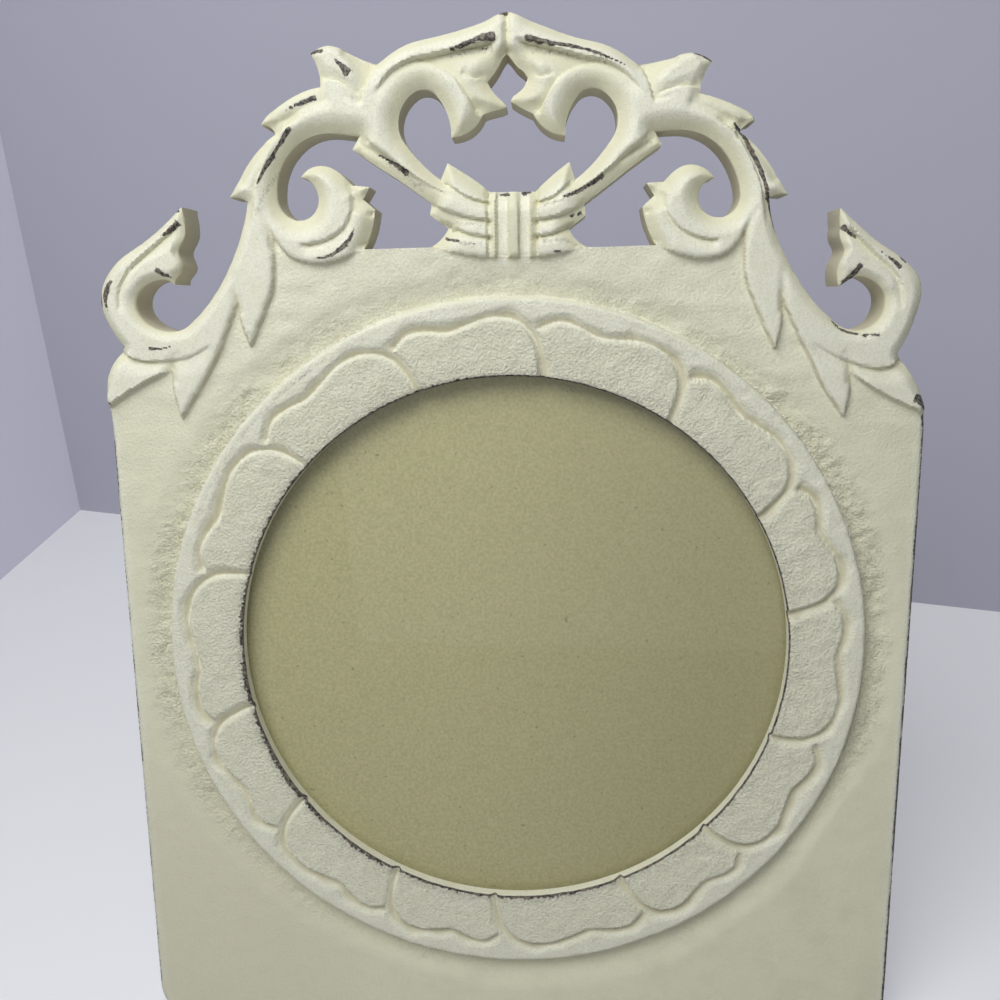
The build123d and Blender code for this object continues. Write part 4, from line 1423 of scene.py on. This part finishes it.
def glass_material():
    """Clear sheet glass that lets the lamps through to the card."""
    made, tree, shader = fresh_material("clear_glass")
    shader.inputs["Base Color"].default_value = (0.97, 0.99, 0.97, 1)
    shader.inputs["Roughness"].default_value = 0.02
    shader.inputs["Transmission Weight"].default_value = 1.0
    shader.inputs["IOR"].default_value = 1.45
    path = tree.nodes.new("ShaderNodeLightPath").outputs
    see_through(tree, shader, calculate(tree, "MAXIMUM", path["Is Shadow Ray"], path["Is Diffuse Ray"]))
    return made


def stand_in(piece, node, body, material):
    """Let a piece stand for a CAD node on a body, with its material."""
    give(piece, material)
    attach(piece, body)
    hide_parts(node)


def give(piece, material):
    """Put one material on a piece in place of what it had."""
    piece.data.materials.clear()
    piece.data.materials.append(material)


def colour_property(name, description, default):
    """A colour that a user may change."""
    return FloatVectorProperty(name=name, description=description, subtype="COLOR", default=default)


def power_property(name, description, default):
    """A lamp's power that a user may change."""
    return FloatProperty(name=name, description=description, unit="POWER", default=default)


class PhotoFrameSettings(bpy.types.PropertyGroup):
    """Colours of the photo frame and its stage, and the powers of the lamps."""

    ivory: colour_property("Ivory", "Paint in the hollows", (0.79, 0.775, 0.565))
    # dry brush is also the colour of the painted highlights
    dry_brush: colour_property("Dry brush", "White dragged over what stands up", (0.87, 0.865, 0.715))
    speck: colour_property("Specks", "Fine dirt in the paint", (0.44, 0.425, 0.35))
    undercoat: colour_property("Undercoat", "Dark coat under the paint", (0.035, 0.035, 0.036))
    timber: colour_property("Timber", "Wood that shows where the undercoat is gone", (0.23, 0.195, 0.15))
    # thin paint is also the colour of the painted shade
    thin_paint: colour_property("Thin paint", "Paint on the plank's sides", (0.56, 0.51, 0.36))
    kraft: colour_property("Kraft", "Card behind the glass", (0.545, 0.505, 0.268))
    kraft_dark: colour_property("Kraft, darker", "Mottling of the card", (0.445, 0.41, 0.212))
    kraft_fibre: colour_property("Kraft fibres", "Pale fibres in the card", (0.57, 0.535, 0.35))
    # painted shade on the card's right
    kraft_browned: colour_property("Kraft, browned", "Card that light has browned", (0.27, 0.245, 0.115))
    bare_wood: colour_property("Bare wood", "Strut and the plank's back", (0.46, 0.31, 0.17))
    bare_wood_dark: colour_property("Bare wood, darker", "Grain of the bare wood", (0.33, 0.2, 0.1))
    hardboard: colour_property("Hardboard", "Backing board", (0.22, 0.13, 0.065))
    hardboard_dark: colour_property("Hardboard, darker", "Mottling of the board", (0.15, 0.085, 0.04))
    brass: colour_property("Brass", "Buttons, hinge and screws", (0.7, 0.51, 0.22))
    brass_dull: colour_property("Brass, dulled", "Tarnish on the brass", (0.4, 0.27, 0.11))
    steel: colour_property("Steel", "Hinge pin", (0.58, 0.57, 0.55))
    steel_dull: colour_property("Steel, dulled", "Tarnish on the pin", (0.36, 0.34, 0.31))
    dust: colour_property("Dust", "Dust on the hardware", (0.5, 0.47, 0.42))
    table: colour_property("Table", "Table under the frame", (0.67, 0.68, 0.71))
    wall: colour_property("Wall", "Walls behind the frame", (0.43, 0.43, 0.515))
    key_power: power_property("Key lamp", "Power of the large lamp", 1.64)
    fill_power: power_property("Fill lamp", "Power of the fill lamp", 0.22)
    rear_power: power_property("Rear lamp", "Power of the lamp behind", 0.8)


def settings_of(context):
    """The scene's photo frame settings."""
    return context.scene.photo_frame


class PHOTOFRAME_OT_carve_plank(bpy.types.Operator):
    """Carve the crest, the sunk ground, the ring of petals and the plank's back, and paint them"""

    bl_idname = "photo_frame.carve_plank"
    bl_label = "Carve and paint the plank"

    def execute(self, context):
        paint = paint_material(settings_of(context))
        for piece in (
            carve_crest_and_panel("crest_and_panel"),
            carve_ring("ring_of_petals"),
            carve_plank_back("plank_back"),
        ):
            stand_in(piece, "carved_frame", "frame", paint)
        return {"FINISHED"}


class PHOTOFRAME_OT_glaze(bpy.types.Operator):
    """Finish the glass, the kraft card and the backing board"""

    bl_idname = "photo_frame.glaze"
    bl_label = "Glaze the window"

    def execute(self, context):
        settings = settings_of(context)
        board = dusty_wood(
            "hardboard", settings, settings.hardboard, settings.hardboard_dark, 420.0, (1, 1, 1), 0.6
        )
        for node, slot, bevel, material in (
            ("glass_pane", "clear_glass", GLASS_BEVEL, glass_material()),
            ("photo_card", "kraft_card", CARD_BEVEL, kraft_material(settings)),
            ("backing_board", "hardboard", BOARD_BEVEL, board),
        ):
            stand_in(slab(node + "_sheet", node, bevel), node, "frame", material)
        return {"FINISHED"}


class PHOTOFRAME_OT_fit_hardware(bpy.types.Operator):
    """Finish the strut, the hinge and the turn buttons"""

    bl_idname = "photo_frame.fit_hardware"
    bl_label = "Fit strut and hardware"

    def execute(self, context):
        settings = settings_of(context)
        wood = dusty_wood(
            "strut_wood", settings, settings.bare_wood, settings.bare_wood_dark, roughness=0.65, **WOOD_GRAIN
        )
        sheet = metal_finish("brass_sheet", settings, settings.brass, settings.brass_dull, 0.3)
        turned = metal_finish("turned_brass", settings, settings.brass, settings.brass_dull, 0.24)
        wire = metal_finish("drawn_wire", settings, settings.steel, settings.steel_dull, 0.3)
        for node, body, slot, bevel, material in (
            ("easel_strut", "strut", "bare_wood", STRUT_BEVEL, wood),
            ("hinge_leaf_fixed", "frame", "brass_sheet", SHEET_BEVEL, sheet),
            ("hinge_leaf_moving", "strut", "brass_sheet", SHEET_BEVEL, sheet),
            ("hinge_pin", "frame", "steel_pin", SHEET_BEVEL, wire),
            *((name, name, "brass_sheet", 2 * SHEET_BEVEL, sheet) for name in frame["nodes"]
              if name in frame["bodies"]),
        ):
            stand_in(eased_copy(node + "_eased", node, bevel), node, body, material)
        behind = Vector((0, cos(LEAN), -sin(LEAN)))
        under_strut = Vector((0, -cos(STRUT_LEAN), -sin(STRUT_LEAN)))
        round_head = screw_tree("round_head_screws", False)
        countersunk = screw_tree("countersunk_screws", True)
        for node, body, axis, tree, sizes in (
            ("turn_button_screws", "frame", behind, round_head, BUTTON_SCREW),
            ("hinge_screws_fixed", "frame", behind, countersunk, HINGE_SCREW),
            ("hinge_screws_moving", "strut", under_strut, countersunk, HINGE_SCREW),
        ):
            screws = drive_screws(node + "_slotted", node, axis, tree, sizes, turned)
            stand_in(screws, node, body, turned)
        return {"FINISHED"}


class PHOTOFRAME_OT_set_stage(bpy.types.Operator):
    """Set the table, the walls, the lamps and the camera"""

    bl_idname = "photo_frame.set_stage"
    bl_label = "Set the stage"

    def execute(self, context):
        settings = settings_of(context)
        table_corner = Vector((-TABLE_HALF, -TABLE_HALF, 0))
        across, away = Vector((2 * TABLE_HALF, 0, 0)), Vector((0, 2 * TABLE_HALF, 0))
        table_top = stage_sheet("table_top", table_corner, across, away, settings.table, TABLE_GLOW)
        corner, up = Vector((*ROOM_CORNER, 0)), Vector((0, 0, WALL_HEIGHT))
        back = BACK_WALL_LENGTH * Vector((cos(BACK_WALL_TURN), sin(BACK_WALL_TURN), 0))
        side = SIDE_WALL_LENGTH * Vector((cos(SIDE_WALL_TURN), sin(SIDE_WALL_TURN), 0))
        back_wall = stage_sheet("back_wall", corner, back, up, settings.wall, BACK_WALL_GLOW)
        side_wall = stage_sheet("side_wall", corner + side, -side, up, settings.wall, SIDE_WALL_GLOW)
        add_lamp("key", settings.key_power, *LAMPS["key"])
        add_lamp("fill", settings.fill_power, *LAMPS["fill"])
        add_lamp("rear", settings.rear_power, *LAMPS["rear"])
        world = bpy.data.worlds.new("room")
        world.use_nodes = True
        tree = world.node_tree
        sky = tree.nodes["Background"].inputs
        sky["Color"].default_value = SKY_COLOUR
        glossy = tree.nodes.new("ShaderNodeLightPath").outputs["Is Glossy Ray"]
        feed(tree, sky["Strength"], calculate(tree, "MULTIPLY_ADD", glossy, SKY_IN_GLOSS, SKY_STRENGTH))
        context.scene.world = world
        context.scene.view_settings.view_transform = "Standard"
        context.scene.camera = photo_camera()
        return {"FINISHED"}


def stage_sheet(name, corner, along, up, colour, glow):
    """A flat sheet of the stage along two edges, lightened by glow, and clear from behind and in glass."""
    mesh = bpy.data.meshes.new(name)
    mesh.from_pydata([corner, corner + along, corner + along + up, corner + up], [], [(0, 1, 2, 3)])
    made = add_object(name, mesh)
    darker = [0.98 * channel for channel in colour]
    material = grained_finish(name, colour, darker, 3.0, (1, 1, 1), 0.8, 0.0)
    tree = material.node_tree
    shader = node_of(tree, "BSDF_PRINCIPLED")
    path = tree.nodes.new("ShaderNodeLightPath").outputs
    seen = calculate(tree, "MAXIMUM", path["Is Camera Ray"], path["Is Transmission Ray"])
    shader.inputs["Emission Color"].default_value = (*colour, 1.0)
    tree.links.new(calculate(tree, "MULTIPLY", seen, glow), shader.inputs["Emission Strength"])
    behind = tree.nodes.new("ShaderNodeNewGeometry").outputs["Backfacing"]
    passing = calculate(tree, "MAXIMUM", path["Is Shadow Ray"], path["Is Glossy Ray"])
    see_through(tree, shader, calculate(tree, "MAXIMUM", behind, passing))
    give(made, material)
    return made


def add_lamp(name, power, size, place):
    """A square area lamp that shines at the middle of the frame."""
    lamp = bpy.data.lights.new(name, "AREA")
    lamp.energy = power
    lamp.size = size
    made = add_object(name, lamp)
    made.location = place
    made.rotation_euler = (WINDOW_CENTRE - Vector(place)).to_track_quat("-Z", "Y").to_euler()


def photo_camera():
    """The camera at the photograph's place, given on the plank's axes in millimetres and degrees."""
    lens = bpy.data.cameras.new("photo_camera")
    lens.sensor_width = CAMERA_SENSOR
    lens.lens = CAMERA_LENS
    lens.clip_start = 0.01
    camera = add_object("photo_camera", lens)
    flip = Matrix.Diagonal((1, -1, -1))
    tilt = Euler([radians(angle) for angle in CAMERA_TURN]).to_matrix() @ flip
    plank = Matrix(((1, 0, 0), (0, sin(LEAN), -cos(LEAN)), (0, cos(LEAN), sin(LEAN))))
    looking = plank @ tilt.transposed() @ flip
    camera.matrix_world = looking.to_4x4()
    camera.location = Vector(to_world([CAMERA_PLACE])[0])
    return camera


class PHOTOFRAME_PT_panel(bpy.types.Panel):
    """Steps that dress the photo frame, in order"""

    bl_idname = "PHOTOFRAME_PT_panel"
    bl_label = "Photo frame"
    bl_space_type = "VIEW_3D"
    bl_region_type = "UI"
    bl_category = "Photo frame"

    def draw(self, context):
        for step in STEPS:
            self.layout.operator(step.bl_idname)
        for name in PhotoFrameSettings.__annotations__:
            self.layout.prop(settings_of(context), name)


STEPS = (
    PHOTOFRAME_OT_carve_plank, PHOTOFRAME_OT_glaze, PHOTOFRAME_OT_fit_hardware, PHOTOFRAME_OT_set_stage,
)
CLASSES = (PhotoFrameSettings, *STEPS, PHOTOFRAME_PT_panel)


def register():
    """Add the classes and the scene's settings."""
    for kind in CLASSES:
        bpy.utils.register_class(kind)
    bpy.types.Scene.photo_frame = PointerProperty(type=PhotoFrameSettings)


def unregister():
    """Take the settings and the classes out again."""
    del bpy.types.Scene.photo_frame
    for kind in reversed(CLASSES):
        bpy.utils.unregister_class(kind)


def main():
    """Dress the frame step by step."""
    register()
    bpy.ops.photo_frame.carve_plank()
    bpy.ops.photo_frame.glaze()
    bpy.ops.photo_frame.fit_hardware()
    bpy.ops.photo_frame.set_stage()


if __name__ == "__main__":
    main()
